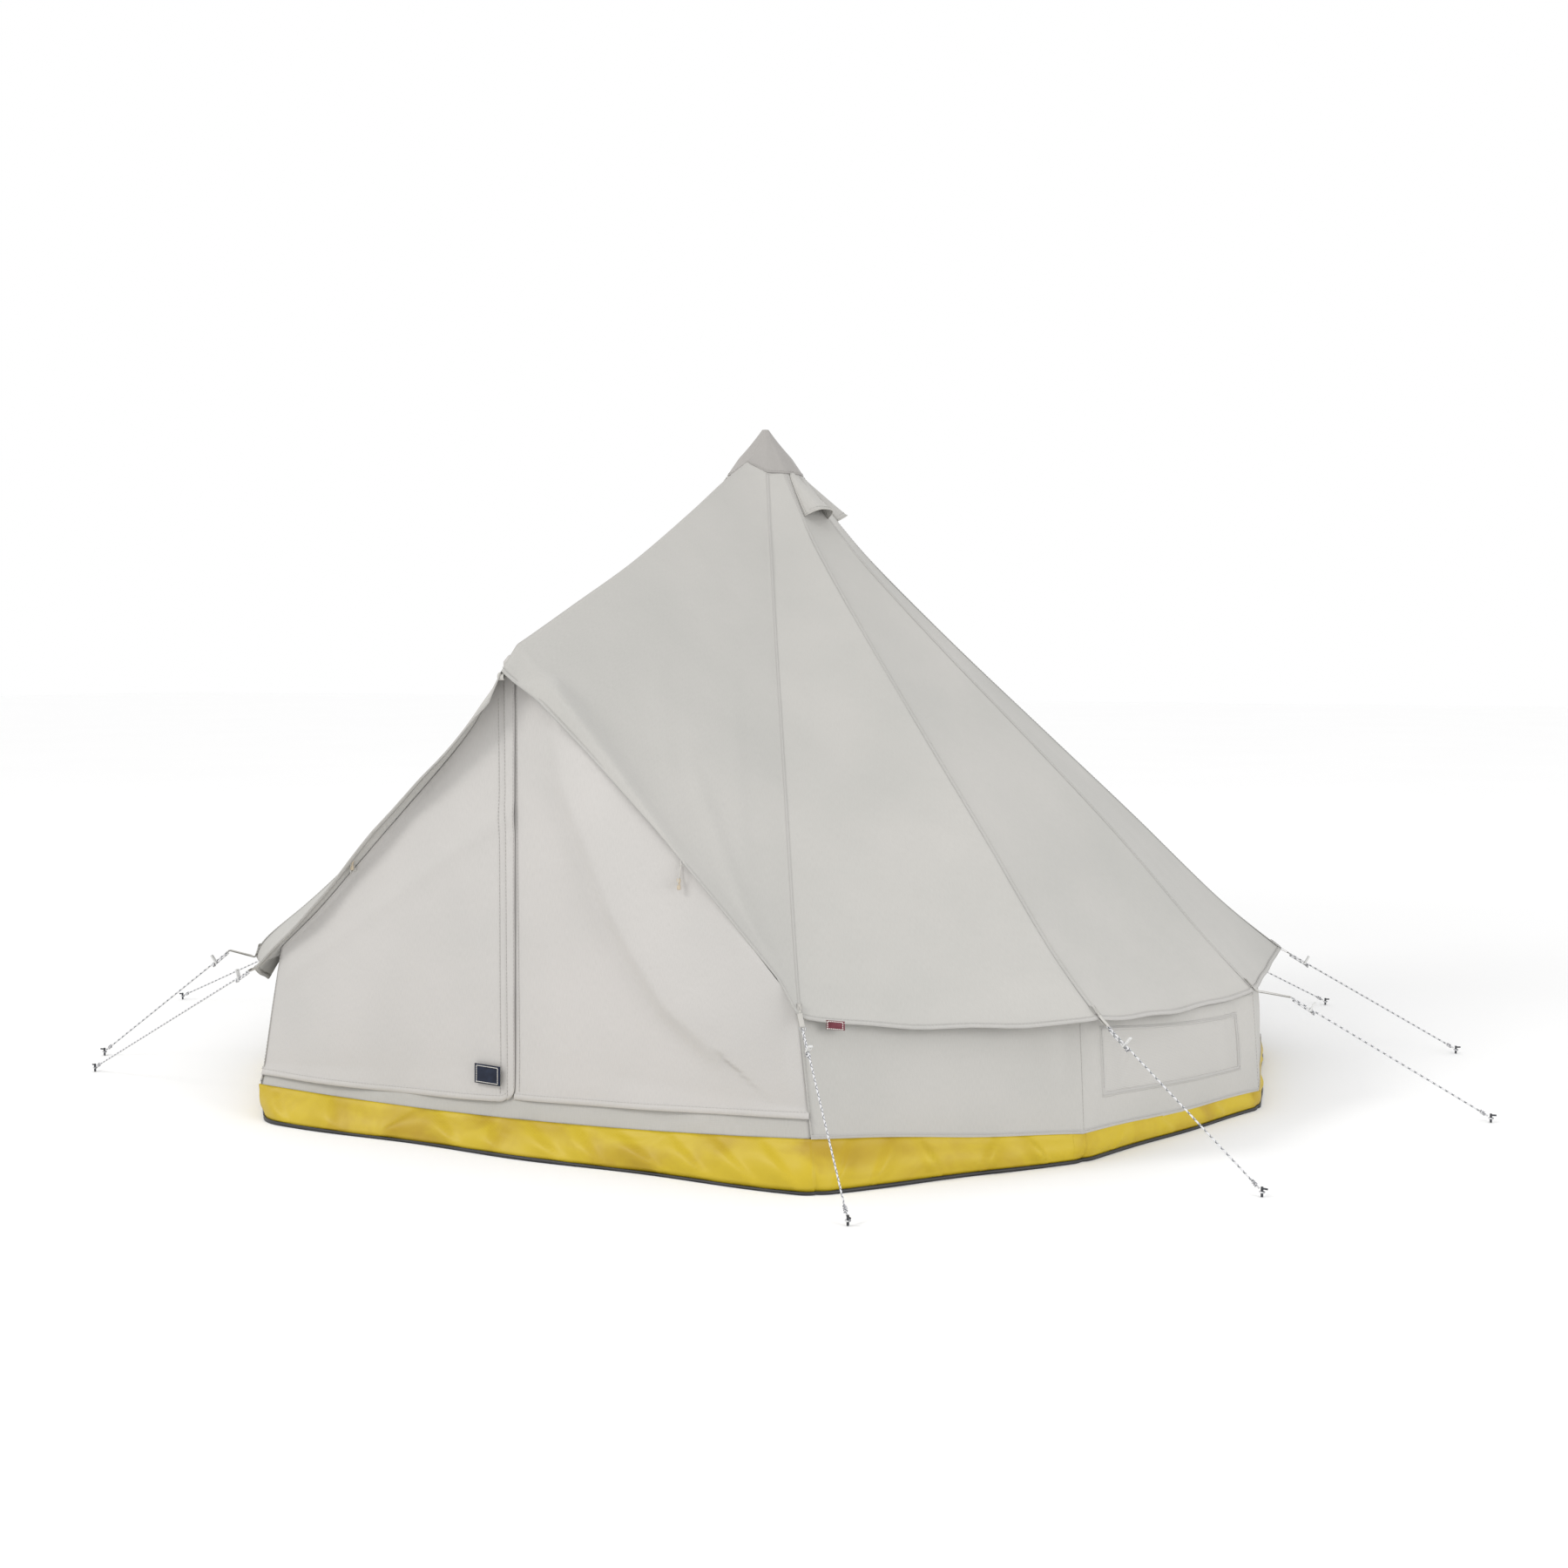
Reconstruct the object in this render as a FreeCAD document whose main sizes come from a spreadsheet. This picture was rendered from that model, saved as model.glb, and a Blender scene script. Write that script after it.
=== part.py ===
"""Bell tent, 4 m across: canvas roof and wall panels on a centre pole and a door A-frame.

Origin: centre of the tent on the ground, under the centre pole. +Z is up and the door faces -Y.
Angles are counted anticlockwise seen from above, from the door (-Y) towards +X.  Millimetres.
"""
import FreeCAD
import Part
import Sketcher
import math
import os

Vector = FreeCAD.Vector

# Driving dimensions: alias, value in mm, degrees or a plain count.
DRIVING_SIZES = {
    # plan of the tent
    "corner_radius": 2000,          # ground corners of the round wall
    "door_corner_x": 1100,          # ground corners each side of the door
    "door_corner_y": 1805,
    "door_corner_angle": 31.4,
    "second_corner_angle": 57.8,    # the narrow first wall sector ends here
    # heights
    "peak_height": 2484,
    "crown_radius": 148,            # where the roof panels start under the peak cap
    "crown_height": 2300,
    "knee_radius": 450,             # the steep top of the bell turns into the long slope
    "knee_height": 1935,
    "eave_radius": 2075,
    "eave_height": 422,
    "eave_second": 470,             # the eave tips next to the door's two
    "seam_gap": 2,                  # between the front panels and the first sector panels
    "cap_lift": 10,                 # the peak cap's foot above the crown
    "cap_inset": 8,
    "cap_tip_radius": 9,
    "wall_top_radius": 1962,
    "wall_top_height": 515,
    # door eave, A-frame ridge and hood
    "door_eave_angle": 30.4,
    "door_eave_height": 527,
    "ridge_reach": 1747,
    "ridge_height": 1634,
    "hood_reach": 1832,
    "hood_height": 1551,
    # cloth
    "cloth": 3,                     # thickness of the solids that stand for canvas
    "sheet_cloth": 3,               # groundsheet
    "mesh_cloth": 1,
    "skirt_door": 165,              # height of the groundsheet skirt at the door corners
    "skirt_second": 85,
    "skirt_low": 60,
    "skirt_gap": 1,                 # between the skirt and the wall above it
    # door
    "door_front": 1755,             # the outside face of the door canvas
    "door_gap": 3,                  # half the gap between the two leaves
    "door_edge_gap": 5,             # between the door canvas and the wall and skirt beside it
    "leaf_foot": 217,
    "leaf_top": 1455,
    "leaf_reach": 955,
    "gusset_top": 1600,
    "gusset_inner_top": 1490,
    "gusset_shoulder_x": 1005,
    "gusset_shoulder": 540,
    "gusset_foot_x": 1040,
    "gusset_foot_inner_x": 985,
    "gusset_foot": 215,
    "sill_bottom": 167,
    "sill_height": 46,
    "flap_width": 46,
    "zip_tape_start": 1,            # half the gap between the two tapes
    "zip_tape_width": 17,
    "zip_tape_thick": 1.5,
    "zip_body_width": 12,
    "zip_body_thick": 5,
    "zip_body_length": 22,
    "zip_pull_width": 6,
    "zip_pull_thick": 2,
    "zip_pull_length": 40,
    # windows, measured up the wall from the ground
    "window_width": 800,
    "window_height": 240,
    "window_foot": 190,
    "window_flap_margin": 15,
    "window_cut_depth": 24,
    # centre pole
    "pole_radius": 16,
    "pole_foot_radius": 48,
    "pole_foot_height": 27,
    "pole_socket_floor": 7,
    "pole_lower_end": 1238,
    "pole_upper_end": 2392,
    "pole_sleeve_radius": 19,
    "pole_sleeve_length": 200,
    "spigot_radius": 5,
    "spigot_length": 68,
    # A-frame
    "a_frame_plane": 1715,
    "a_frame_foot_x": 975,
    "a_frame_foot_height": 10,
    "a_frame_top": 1610,
    "leg_radius": 9.5,
    "elbow_radius": 12.5,
    "elbow_arm": 110,
    "elbow_seat": 37,               # the legs end this far under the top
    "elbow_bore_start": 33,
    "leg_cup_radius": 20,
    "leg_cup_height": 40,
    "leg_cup_socket": 20,
    # guy lines
    "rope_radius": 3,
    "tab_width": 22,
    "tab_length": 30,
    "tab_offset": 8,
    "slider_place": 110,            # from the eave tip to the slider at rest
    "slider_length": 38,
    "slider_width": 13,
    "slider_thick": 6,
    "slider_hole_gap": 22,
    "slider_hole_radius": 3.5,
    "peg_radius": 4,
    "peg_height": 30,
    "peg_hook": 18,
    "peg_hook_radius": 3,
    "peg_hook_height": 25,
    "rope_end_height": 16,
    "rope_end_gap": 8,              # the rope's solid stops short of the peg's shank
    # small pieces
    "toggle_radius": 6,
    "toggle_length": 36,
    "toggle_x": 630,
    "toggle_height": 883,
    "vent_length": 190,
    "vent_half_width": 60,
    "vent_rise": 46,
    "vent_cloth": 2.5,
    "vent_from_crown": 12,
    "vent_lift": 6,
    "vent_mesh_width": 60,
    "vent_mesh_length": 95,
    "vent_mesh_from_top": 171,
    "clearance": 0.3,
}

# The peg of each corner, anticlockwise from the door: angle in degrees and distance from the pole.
PEG_PLACES = [
    (33, 2450), (62, 2600), (92, 2760), (118, 2780), (142, 2820), (180, 2820),
    (211, 2850), (241, 2950), (271, 3040), (297, 2650), (304, 2600),
]
SIDE_SECTORS = 5
SECTOR_COUNT = 2 * SIDE_SECTORS
CORNER_COUNT = SECTOR_COUNT + 1
WINDOW_SECTORS = (1, 3, 6, 8)       # the sectors with a window below and a vent at the top

doc = FreeCAD.newDocument("bell_tent")
sheet = doc.addObject("Spreadsheet::Sheet", "sizes")
for row, (alias, value) in enumerate(DRIVING_SIZES.items(), start=1):
    sheet.set(f"A{row}", alias)
    sheet.set(f"B{row}", str(value))
    sheet.setAlias(f"B{row}", alias)
doc.recompute()

subparts = []
meshes = []                         # insect mesh of the windows and the vents


# ---------------------------------------------------------------- helpers

def size(alias):
    """One driving dimension, read from the sheet."""
    return float(sheet.get(alias))


def bind(thing, prop, formula):
    """Bind a property to a formula; every word in the formula that names a cell is looked up."""
    words = []
    for word in formula.split():
        words.append(f"<<sizes>>.{word}" if word in DRIVING_SIZES else word)
    thing.setExpression(prop, " ".join(words))


def keep(thing, label):
    """Make this object a sub-part under its own name."""
    thing.Label = label
    subparts.append(thing)
    return thing


def box(name, length, width, height):
    thing = doc.addObject("Part::Box", name)
    bind(thing, "Length", length)
    bind(thing, "Width", width)
    bind(thing, "Height", height)
    return thing


def cylinder(name, radius, height):
    thing = doc.addObject("Part::Cylinder", name)
    bind(thing, "Radius", radius)
    bind(thing, "Height", height)
    return thing


def fuse(name, base, tool):
    thing = doc.addObject("Part::Fuse", name)
    thing.Base = base
    thing.Tool = tool
    return thing


def cut(name, base, tool):
    thing = doc.addObject("Part::Cut", name)
    thing.Base = base
    thing.Tool = tool
    return thing


def group(label, things):
    """Several separate solids of one kind in one sub-part."""
    thing = doc.addObject("Part::Compound", label)
    thing.Links = things
    return keep(thing, label)


def feature(name, shape):
    thing = doc.addObject("Part::Feature", name)
    thing.Shape = shape
    return thing


def polar(angle, radius, height):
    """A point at an angle from the door, a distance from the pole and a height."""
    turn = math.radians(angle)
    return Vector(radius * math.sin(turn), -radius * math.cos(turn), height)


def place(position, x_axis, y_axis):
    """A placement from an origin, the local X direction and the rough local Y direction."""
    x_unit = Vector(x_axis).normalize()
    z_unit = x_unit.cross(y_axis).normalize()
    return FreeCAD.Placement(position, FreeCAD.Rotation(x_unit, z_unit.cross(x_unit), z_unit, "XYZ"))


def along(start, end):
    """A placement at start with its Z axis towards end and its Y axis as level as it can be."""
    z_unit = end.sub(start).normalize()
    y_unit = z_unit.cross(Vector(0, 0, 1)).normalize()
    return FreeCAD.Placement(start, FreeCAD.Rotation(y_unit.cross(z_unit), y_unit, z_unit, "XYZ"))


def outline_body(label, corners, thickness, circles=()):
    """A flat piece cut to an outline: a sketch on the body's XY plane, padded by its thickness.

    corners are pairs of formulas; circles are (x formula, y formula, radius formula)."""
    body = doc.addObject("PartDesign::Body", label)
    sketch = body.newObject("Sketcher::SketchObject", f"{label}_outline")
    plane = next(item for item in body.Origin.OriginFeatures if item.Role == "XY_Plane")
    sketch.AttachmentSupport = [(plane, "")]
    sketch.MapMode = "FlatFace"
    points = [Vector(value(x_formula), value(y_formula), 0) for x_formula, y_formula in corners]
    count = len(points)
    for index in range(count):
        sketch.addGeometry(Part.LineSegment(points[index], points[(index + 1) % count]), False)
    for index in range(count):
        sketch.addConstraint(Sketcher.Constraint("Coincident", index, 2, (index + 1) % count, 1))
    for index, (x_formula, y_formula) in enumerate(corners):
        bind_point(sketch, index, 1, x_formula, y_formula)
    for x_formula, y_formula, radius_formula in circles:
        centre = Vector(value(x_formula), value(y_formula), 0)
        ring = sketch.addGeometry(Part.Circle(centre, Vector(0, 0, 1), value(radius_formula)), False)
        bind_point(sketch, ring, 3, x_formula, y_formula)
        radius = sketch.addConstraint(Sketcher.Constraint("Radius", ring, value(radius_formula)))
        bind(sketch, f"Constraints[{radius}]", radius_formula)
    pad = body.newObject("PartDesign::Pad", f"{label}_pad")
    pad.Profile = sketch
    bind(pad, "Length", thickness)
    body.Tip = pad
    return body


def value(formula):
    """The number that a formula of cell names comes to."""
    total = 0.0
    sign = 1.0
    factor = None
    operator = ""
    for word in formula.split():
        if word in ("+", "-"):
            total += sign * (factor or 0.0)
            sign = 1.0 if word == "+" else -1.0
            factor = None
        elif word in ("*", "/"):
            operator = word
        else:
            number = size(word) if word in DRIVING_SIZES else float(word)
            if factor is None:
                factor = number
            elif operator == "*":
                factor *= number
            else:
                factor /= number
    return total + sign * (factor or 0.0)


def bind_point(sketch, geometry, end, x_formula, y_formula):
    """Hold one point of a sketch at formulas counted from the sketch's origin."""
    for kind, formula in (("DistanceX", x_formula), ("DistanceY", y_formula)):
        number = sketch.addConstraint(
            Sketcher.Constraint(kind, -1, 1, geometry, end, value(formula)))
        bind(sketch, f"Constraints[{number}]", formula)


def cloth_plate(name, corners, thickness):
    """Cloth stretched over three or four corners, thickened to the outside.

    The corners of a four-cornered piece needn't lie in one plane, so it folds on its diagonal."""
    normal = corners[1].sub(corners[0]).cross(corners[-1].sub(corners[0])).normalize()
    middle = sum(corners, Vector()).multiply(1 / len(corners))
    if normal.dot(Vector(middle.x, middle.y, size("eave_height"))) < 0:
        normal = normal.negative()
    prisms = []
    for index in range(1, len(corners) - 1):
        triangle = [corners[0], corners[index], corners[index + 1], corners[0]]
        prisms.append(Part.Face(Part.makePolygon(triangle)).extrude(normal * thickness))
    solid = prisms[0]
    for prism in prisms[1:]:
        solid = solid.fuse(prism).removeSplitter()
    return feature(name, solid)


# ---------------------------------------------------------------- corners of the tent

rear_step = (180 - size("second_corner_angle")) / (SIDE_SECTORS - 1)
side_angles = [size("second_corner_angle") + rear_step * step for step in range(SIDE_SECTORS)]
CORNER_ANGLES = [size("door_corner_angle")] + side_angles
CORNER_ANGLES += [360 - angle for angle in reversed(CORNER_ANGLES[:-1])]
DOOR_CORNERS = (0, CORNER_COUNT - 1)
SECOND_CORNERS = (1, CORNER_COUNT - 2)


def side_of(corner):
    """+1 on the +X side of the door, -1 on the other."""
    return 1 if corner < SIDE_SECTORS else -1


def ground_point(corner):
    if corner in DOOR_CORNERS:
        return Vector(side_of(corner) * size("door_corner_x"), -size("door_corner_y"),
                      size("sheet_cloth"))
    return polar(CORNER_ANGLES[corner], size("corner_radius"), size("sheet_cloth"))


def wall_point(corner, height):
    """A point on the wall's corner line, which leans in a little towards its top."""
    lean = (size("corner_radius") - size("wall_top_radius")) / size("wall_top_height")
    return polar(CORNER_ANGLES[corner], size("corner_radius") - lean * height, height)


def skirt_height(corner):
    if corner in DOOR_CORNERS:
        return size("skirt_door")
    if corner in SECOND_CORNERS:
        return size("skirt_second")
    return size("skirt_low")


def skirt_top(corner):
    if corner in DOOR_CORNERS:
        return Vector(side_of(corner) * (size("gusset_foot_x") + 2 * size("door_edge_gap")),
                      -size("door_front") - size("door_edge_gap"), skirt_height(corner))
    return wall_point(corner, skirt_height(corner))


def wall_foot(corner):
    if corner in DOOR_CORNERS:
        return Vector(side_of(corner) * (size("gusset_foot_x") + 2 * size("door_edge_gap")),
                      -size("door_front"), skirt_height(corner) + size("skirt_gap"))
    return wall_point(corner, skirt_height(corner) + size("skirt_gap"))


def wall_top(corner):
    if corner in DOOR_CORNERS:
        return Vector(side_of(corner) * (size("gusset_shoulder_x") + size("door_edge_gap")),
                      -size("door_front"), size("gusset_shoulder") + size("door_edge_gap"))
    return wall_point(corner, size("wall_top_height"))


def seam_angle(corner):
    """The angle of the roof seam that ends at this corner's eave tip."""
    if corner in DOOR_CORNERS:
        return size("door_eave_angle") if corner == 0 else 360 - size("door_eave_angle")
    return CORNER_ANGLES[corner]


def eave_tip(corner):
    height = size("eave_height")
    if corner in DOOR_CORNERS:
        height = size("door_eave_height")
    elif corner in SECOND_CORNERS:
        height = size("eave_second")
    return polar(seam_angle(corner), size("eave_radius"), height)


def knee_point(corner):
    return polar(seam_angle(corner), size("knee_radius"), size("knee_height"))


def crown_point(corner):
    return polar(seam_angle(corner), size("crown_radius"), size("crown_height"))


def peg_point(corner):
    angle, reach = PEG_PLACES[corner]
    return polar(angle, reach, 0)


def sector_place(sector, lower, upper):
    """A frame on a flat sector: origin in the middle of its lower edge, Y up it, Z outwards.

    lower and upper give a corner point for a corner number."""
    low_middle = lower(sector).add(lower(sector + 1)).multiply(0.5)
    high_middle = upper(sector).add(upper(sector + 1)).multiply(0.5)
    return place(low_middle, lower(sector + 1).sub(lower(sector)), high_middle.sub(low_middle))


WINDOW_PLACES = {}
for sector in WINDOW_SECTORS:
    WINDOW_PLACES[sector] = sector_place(
        sector, lambda corner: wall_point(corner, 0), wall_top)


# ---------------------------------------------------------------- groundsheet

def make_groundsheet():
    corners = [ground_point(corner) for corner in range(CORNER_COUNT)]
    outline = [Vector(corner.x, corner.y, 0) for corner in corners]
    face = Part.Face(Part.makePolygon(outline + outline[:1]))
    floor = feature("groundsheet_floor", face.extrude(Vector(0, 0, size("sheet_cloth"))))
    keep(floor, "groundsheet_floor")
    skirt = []
    for corner in range(CORNER_COUNT):
        after = (corner + 1) % CORNER_COUNT
        corners = [ground_point(corner), ground_point(after), skirt_top(after), skirt_top(corner)]
        skirt.append(cloth_plate(f"skirt_side_{corner}", corners, size("sheet_cloth")))
    group("groundsheet_skirt", skirt)


# ---------------------------------------------------------------- walls and windows

def make_walls():
    for name, sectors in (("right", range(SIDE_SECTORS)), ("left", range(SIDE_SECTORS, SECTOR_COUNT))):
        plates = []
        for sector in sectors:
            corners = [wall_foot(sector), wall_foot(sector + 1), wall_top(sector + 1), wall_top(sector)]
            plate = cloth_plate(f"wall_sector_{sector}", corners, size("cloth"))
            if sector in WINDOW_SECTORS:
                plate = cut(f"wall_sector_{sector}_cut", plate, window_hole(sector))
            plates.append(plate)
        group(f"wall_{name}", plates)


def on_window(sector, x, y, z):
    """A placement at a point of a window's own frame."""
    return WINDOW_PLACES[sector].multiply(FreeCAD.Placement(Vector(x, y, z), FreeCAD.Rotation()))


def window_hole(sector):
    hole = box(f"window_hole_{sector}", "window_width", "window_height", "window_cut_depth")
    hole.Placement = on_window(sector, -size("window_width") / 2, size("window_foot"),
                               -size("window_cut_depth") / 2)
    return hole


def make_windows():
    for number, sector in enumerate(WINDOW_SECTORS, start=1):
        mesh = box(f"window_mesh_{sector}", "window_width - 2 * clearance",
                   "window_height - 2 * clearance", "mesh_cloth")
        mesh.Placement = on_window(sector, size("clearance") - size("window_width") / 2,
                                   size("window_foot") + size("clearance"), size("mesh_cloth"))
        meshes.append(mesh)
        flap = box(f"window_flap_{number}", "window_width + 2 * window_flap_margin",
                   "window_height + 2 * window_flap_margin", "cloth")
        margin = size("window_flap_margin")
        flap.Placement = on_window(sector, -size("window_width") / 2 - margin,
                                   size("window_foot") - margin, -2 * size("cloth"))
        keep(flap, f"window_flap_{number}")


# ---------------------------------------------------------------- roof

def make_roof():
    for name, sectors in (("right", range(SIDE_SECTORS)), ("left", range(SIDE_SECTORS, SECTOR_COUNT))):
        plates = []
        for sector in sectors:
            after = sector + 1
            slope = [eave_tip(sector), eave_tip(after), knee_point(after), knee_point(sector)]
            crown = [knee_point(sector), knee_point(after), crown_point(after), crown_point(sector)]
            plates.append(cloth_plate(f"roof_slope_{sector}", slope, size("cloth")))
            plates.append(cloth_plate(f"roof_crown_{sector}", crown, size("cloth")))
        group(f"roof_{name}", plates)


def make_roof_front():
    """The two front panels, from the peak over the ridge, and the hood beyond the A-frame."""
    crown = Vector(0, -size("crown_radius"), size("crown_height"))
    ridge = Vector(0, -size("ridge_reach"), size("ridge_height"))
    hood = Vector(0, -size("hood_reach"), size("hood_height"))
    share = size("knee_radius") / size("eave_radius")
    shoulder = crown.add(ridge.sub(crown).multiply(share))
    for name, corner in (("right", 0), ("left", CORNER_COUNT - 1)):
        inward = Vector(-side_of(corner) * size("seam_gap"), 0, 0)
        knee = knee_point(corner).add(inward)
        tip = eave_tip(corner).add(inward)
        top = [crown, shoulder, knee, crown_point(corner).add(inward)]
        plates = [
            cloth_plate(f"front_top_{name}", top, size("cloth")),
            cloth_plate(f"front_slope_{name}", [ridge, tip, knee, shoulder], size("cloth")),
            cloth_plate(f"front_hood_{name}", [ridge, hood, tip], size("cloth")),
        ]
        group(f"roof_front_{name}", plates)


def make_peak_cap():
    """The steep reinforced cone that the pole's spigot goes into."""
    height = "peak_height - crown_height - cap_lift"
    outer = doc.addObject("Part::Cone", "peak_cap_outer")
    bind(outer, "Radius1", "crown_radius - cap_inset")
    bind(outer, "Radius2", "cap_tip_radius")
    bind(outer, "Height", height)
    inner = doc.addObject("Part::Cone", "peak_cap_inner")
    bind(inner, "Radius1", "crown_radius - cap_inset - cloth")
    bind(inner, "Radius2", "cap_tip_radius - cloth")
    bind(inner, "Height", height)
    cap = cut("peak_cap", outer, inner)
    inner.Placement.Base = Vector(0, 0, -size("cloth"))
    cap.Placement.Base = Vector(0, 0, size("crown_height") + size("cap_lift"))
    keep(cap, "peak_cap")


def make_vents():
    """A little pitched hood over each vent, with its mesh on the roof below it."""
    hoods = []
    length = size("vent_length")
    half = size("vent_half_width")
    for sector in WINDOW_SECTORS:
        frame = sector_place(sector, knee_point, crown_point)
        top = crown_point(sector).sub(knee_point(sector)).Length - size("vent_from_crown")
        lift = size("vent_lift")
        peak = frame.multVec(Vector(0, top, lift))
        left = frame.multVec(Vector(-half, top - length, lift))
        right = frame.multVec(Vector(half, top - length, lift))
        mouth = frame.multVec(Vector(0, top - length, size("vent_rise")))
        hoods.append(cloth_plate(f"vent_left_{sector}", [peak, left, mouth], size("vent_cloth")))
        hoods.append(cloth_plate(f"vent_right_{sector}", [peak, mouth, right], size("vent_cloth")))
        mesh = box(f"vent_mesh_{sector}", "vent_mesh_width", "vent_mesh_length", "mesh_cloth")
        corner = Vector(-size("vent_mesh_width") / 2, top - size("vent_mesh_from_top"),
                        size("cloth") + size("clearance"))
        mesh.Placement = frame.multiply(FreeCAD.Placement(corner, FreeCAD.Rotation()))
        meshes.append(mesh)
    group("vent_hoods", hoods)


# ---------------------------------------------------------------- door

def door_place(side, front, thickness):
    """Stands a flat piece up in the door, drawn with X away from the middle and Y up."""
    x_axis = Vector(side, 0, 0)
    depth = front if side < 0 else front - thickness
    return place(Vector(0, -depth, 0), x_axis, Vector(0, 0, 1))


def make_door():
    leaf = [("door_gap", "leaf_foot"), ("leaf_reach", "leaf_foot"), ("door_gap", "leaf_top")]
    gusset = [("door_gap", "gusset_inner_top"), ("gusset_foot_inner_x", "gusset_foot"),
              ("gusset_foot_x", "gusset_foot"), ("gusset_shoulder_x", "gusset_shoulder"),
              ("door_gap", "gusset_top")]
    for name, side in (("right", 1), ("left", -1)):
        piece = outline_body(f"door_leaf_{name}", leaf, "cloth")
        piece.Placement = door_place(side, size("door_front"), size("cloth"))
        keep(piece, f"door_leaf_{name}")
        piece = outline_body(f"door_gusset_{name}", gusset, "cloth")
        piece.Placement = door_place(side, size("door_front"), size("cloth"))
        keep(piece, f"door_gusset_{name}")
        tape = box(f"zip_tape_{name}", "zip_tape_width", "zip_tape_thick",
                   "leaf_top - leaf_foot - zip_tape_width * 2")
        tape_edge = size("zip_tape_start") if side > 0 else -size("zip_tape_start") - size("zip_tape_width")
        tape.Placement.Base = Vector(tape_edge, size("clearance") + size("cloth") - size("door_front"),
                                     size("leaf_foot"))
        keep(tape, f"zip_tape_{name}")
    sill = box("door_sill", "2 * gusset_foot_x", "cloth", "sill_height")
    sill.Placement.Base = Vector(-size("gusset_foot_x"), -size("door_front"), size("sill_bottom"))
    keep(sill, "door_sill")
    flap = box("storm_flap", "flap_width", "cloth", "leaf_top - leaf_foot - flap_width")
    flap.Placement.Base = Vector(size("zip_tape_start") - size("flap_width"),
                                 -size("door_front") - size("cloth") - size("clearance"),
                                 size("leaf_foot"))
    keep(flap, "storm_flap")


def make_zip_slider(label, x_start, foot):
    """A zip's slider on the inside of the door, with its pull hanging from it."""
    back = size("cloth") + 2 * size("clearance") + size("zip_tape_thick") - size("door_front")
    slider = box(f"{label}_body", "zip_body_width", "zip_body_thick", "zip_body_length")
    slider.Placement.Base = Vector(x_start, back, foot)
    pull = box(f"{label}_pull", "zip_pull_width", "zip_pull_thick", "zip_pull_length")
    pull.Placement.Base = Vector(x_start + size("zip_pull_width") / 2, back + size("zip_body_thick"),
                                 foot + size("zip_body_length") / 2 - size("zip_pull_length"))
    keep(fuse(label, slider, pull), label)


def make_zip_sliders():
    width = size("zip_body_width")
    make_zip_slider("door_zip_slider", -size("zip_tape_start") - width, size("leaf_foot") + width)
    sill_zip_foot = size("leaf_foot") - size("zip_body_length")
    make_zip_slider("sill_zip_slider_right", 2 * width, sill_zip_foot)
    make_zip_slider("sill_zip_slider_left", -3 * width, sill_zip_foot)


def make_toggles():
    """The wooden toggles that tie a rolled door leaf back to its gusset."""
    toggles = []
    for name, side in (("right", 1), ("left", -1)):
        toggle = cylinder(f"toggle_{name}", "toggle_radius", "toggle_length")
        toggle.Placement.Base = Vector(
            side * size("toggle_x"),
            -size("door_front") - size("toggle_radius") - size("clearance"),
            size("toggle_height"))
        toggles.append(toggle)
    group("door_toggles", toggles)


# ---------------------------------------------------------------- poles

def make_centre_pole():
    foot_floor = size("sheet_cloth") + size("clearance")
    seat = foot_floor + size("pole_socket_floor")
    foot = cylinder("pole_foot_block", "pole_foot_radius", "pole_foot_height")
    socket = cylinder("pole_foot_socket", "pole_radius + clearance", "pole_foot_height")
    socket.Placement.Base = Vector(0, 0, size("pole_socket_floor"))
    foot = cut("pole_foot", foot, socket)
    foot.Placement.Base = Vector(0, 0, foot_floor)
    keep(foot, "pole_foot")
    lower = cylinder("centre_pole_lower", "pole_radius", "pole_lower_end")
    lower.Placement.Base = Vector(0, 0, seat + size("clearance"))
    keep(lower, "centre_pole_lower")
    joint = seat + 2 * size("clearance") + size("pole_lower_end")
    upper = doc.addObject("Part::Cylinder", "centre_pole_upper")
    bind(upper, "Radius", "pole_radius")
    upper.Height = size("pole_upper_end") - joint
    upper.Placement.Base = Vector(0, 0, joint)
    keep(upper, "centre_pole_upper")
    shell = cylinder("pole_sleeve_shell", "pole_sleeve_radius", "pole_sleeve_length")
    bore = cylinder("pole_sleeve_bore", "pole_radius + clearance", "pole_sleeve_length")
    sleeve = cut("pole_sleeve", shell, bore)
    sleeve.Placement.Base = Vector(0, 0, joint - size("pole_sleeve_length") / 2)
    keep(sleeve, "pole_sleeve")
    plug = cylinder("spigot_plug", "pole_radius - 1", "pole_radius / 2")
    pin = cylinder("spigot_pin", "spigot_radius", "spigot_length")
    pin.Placement.Base = Vector(0, 0, size("pole_radius") / 2)
    spigot = fuse("peak_spigot", plug, pin)
    spigot.Placement.Base = Vector(0, 0, size("pole_upper_end") + size("clearance"))
    keep(spigot, "peak_spigot")


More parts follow.
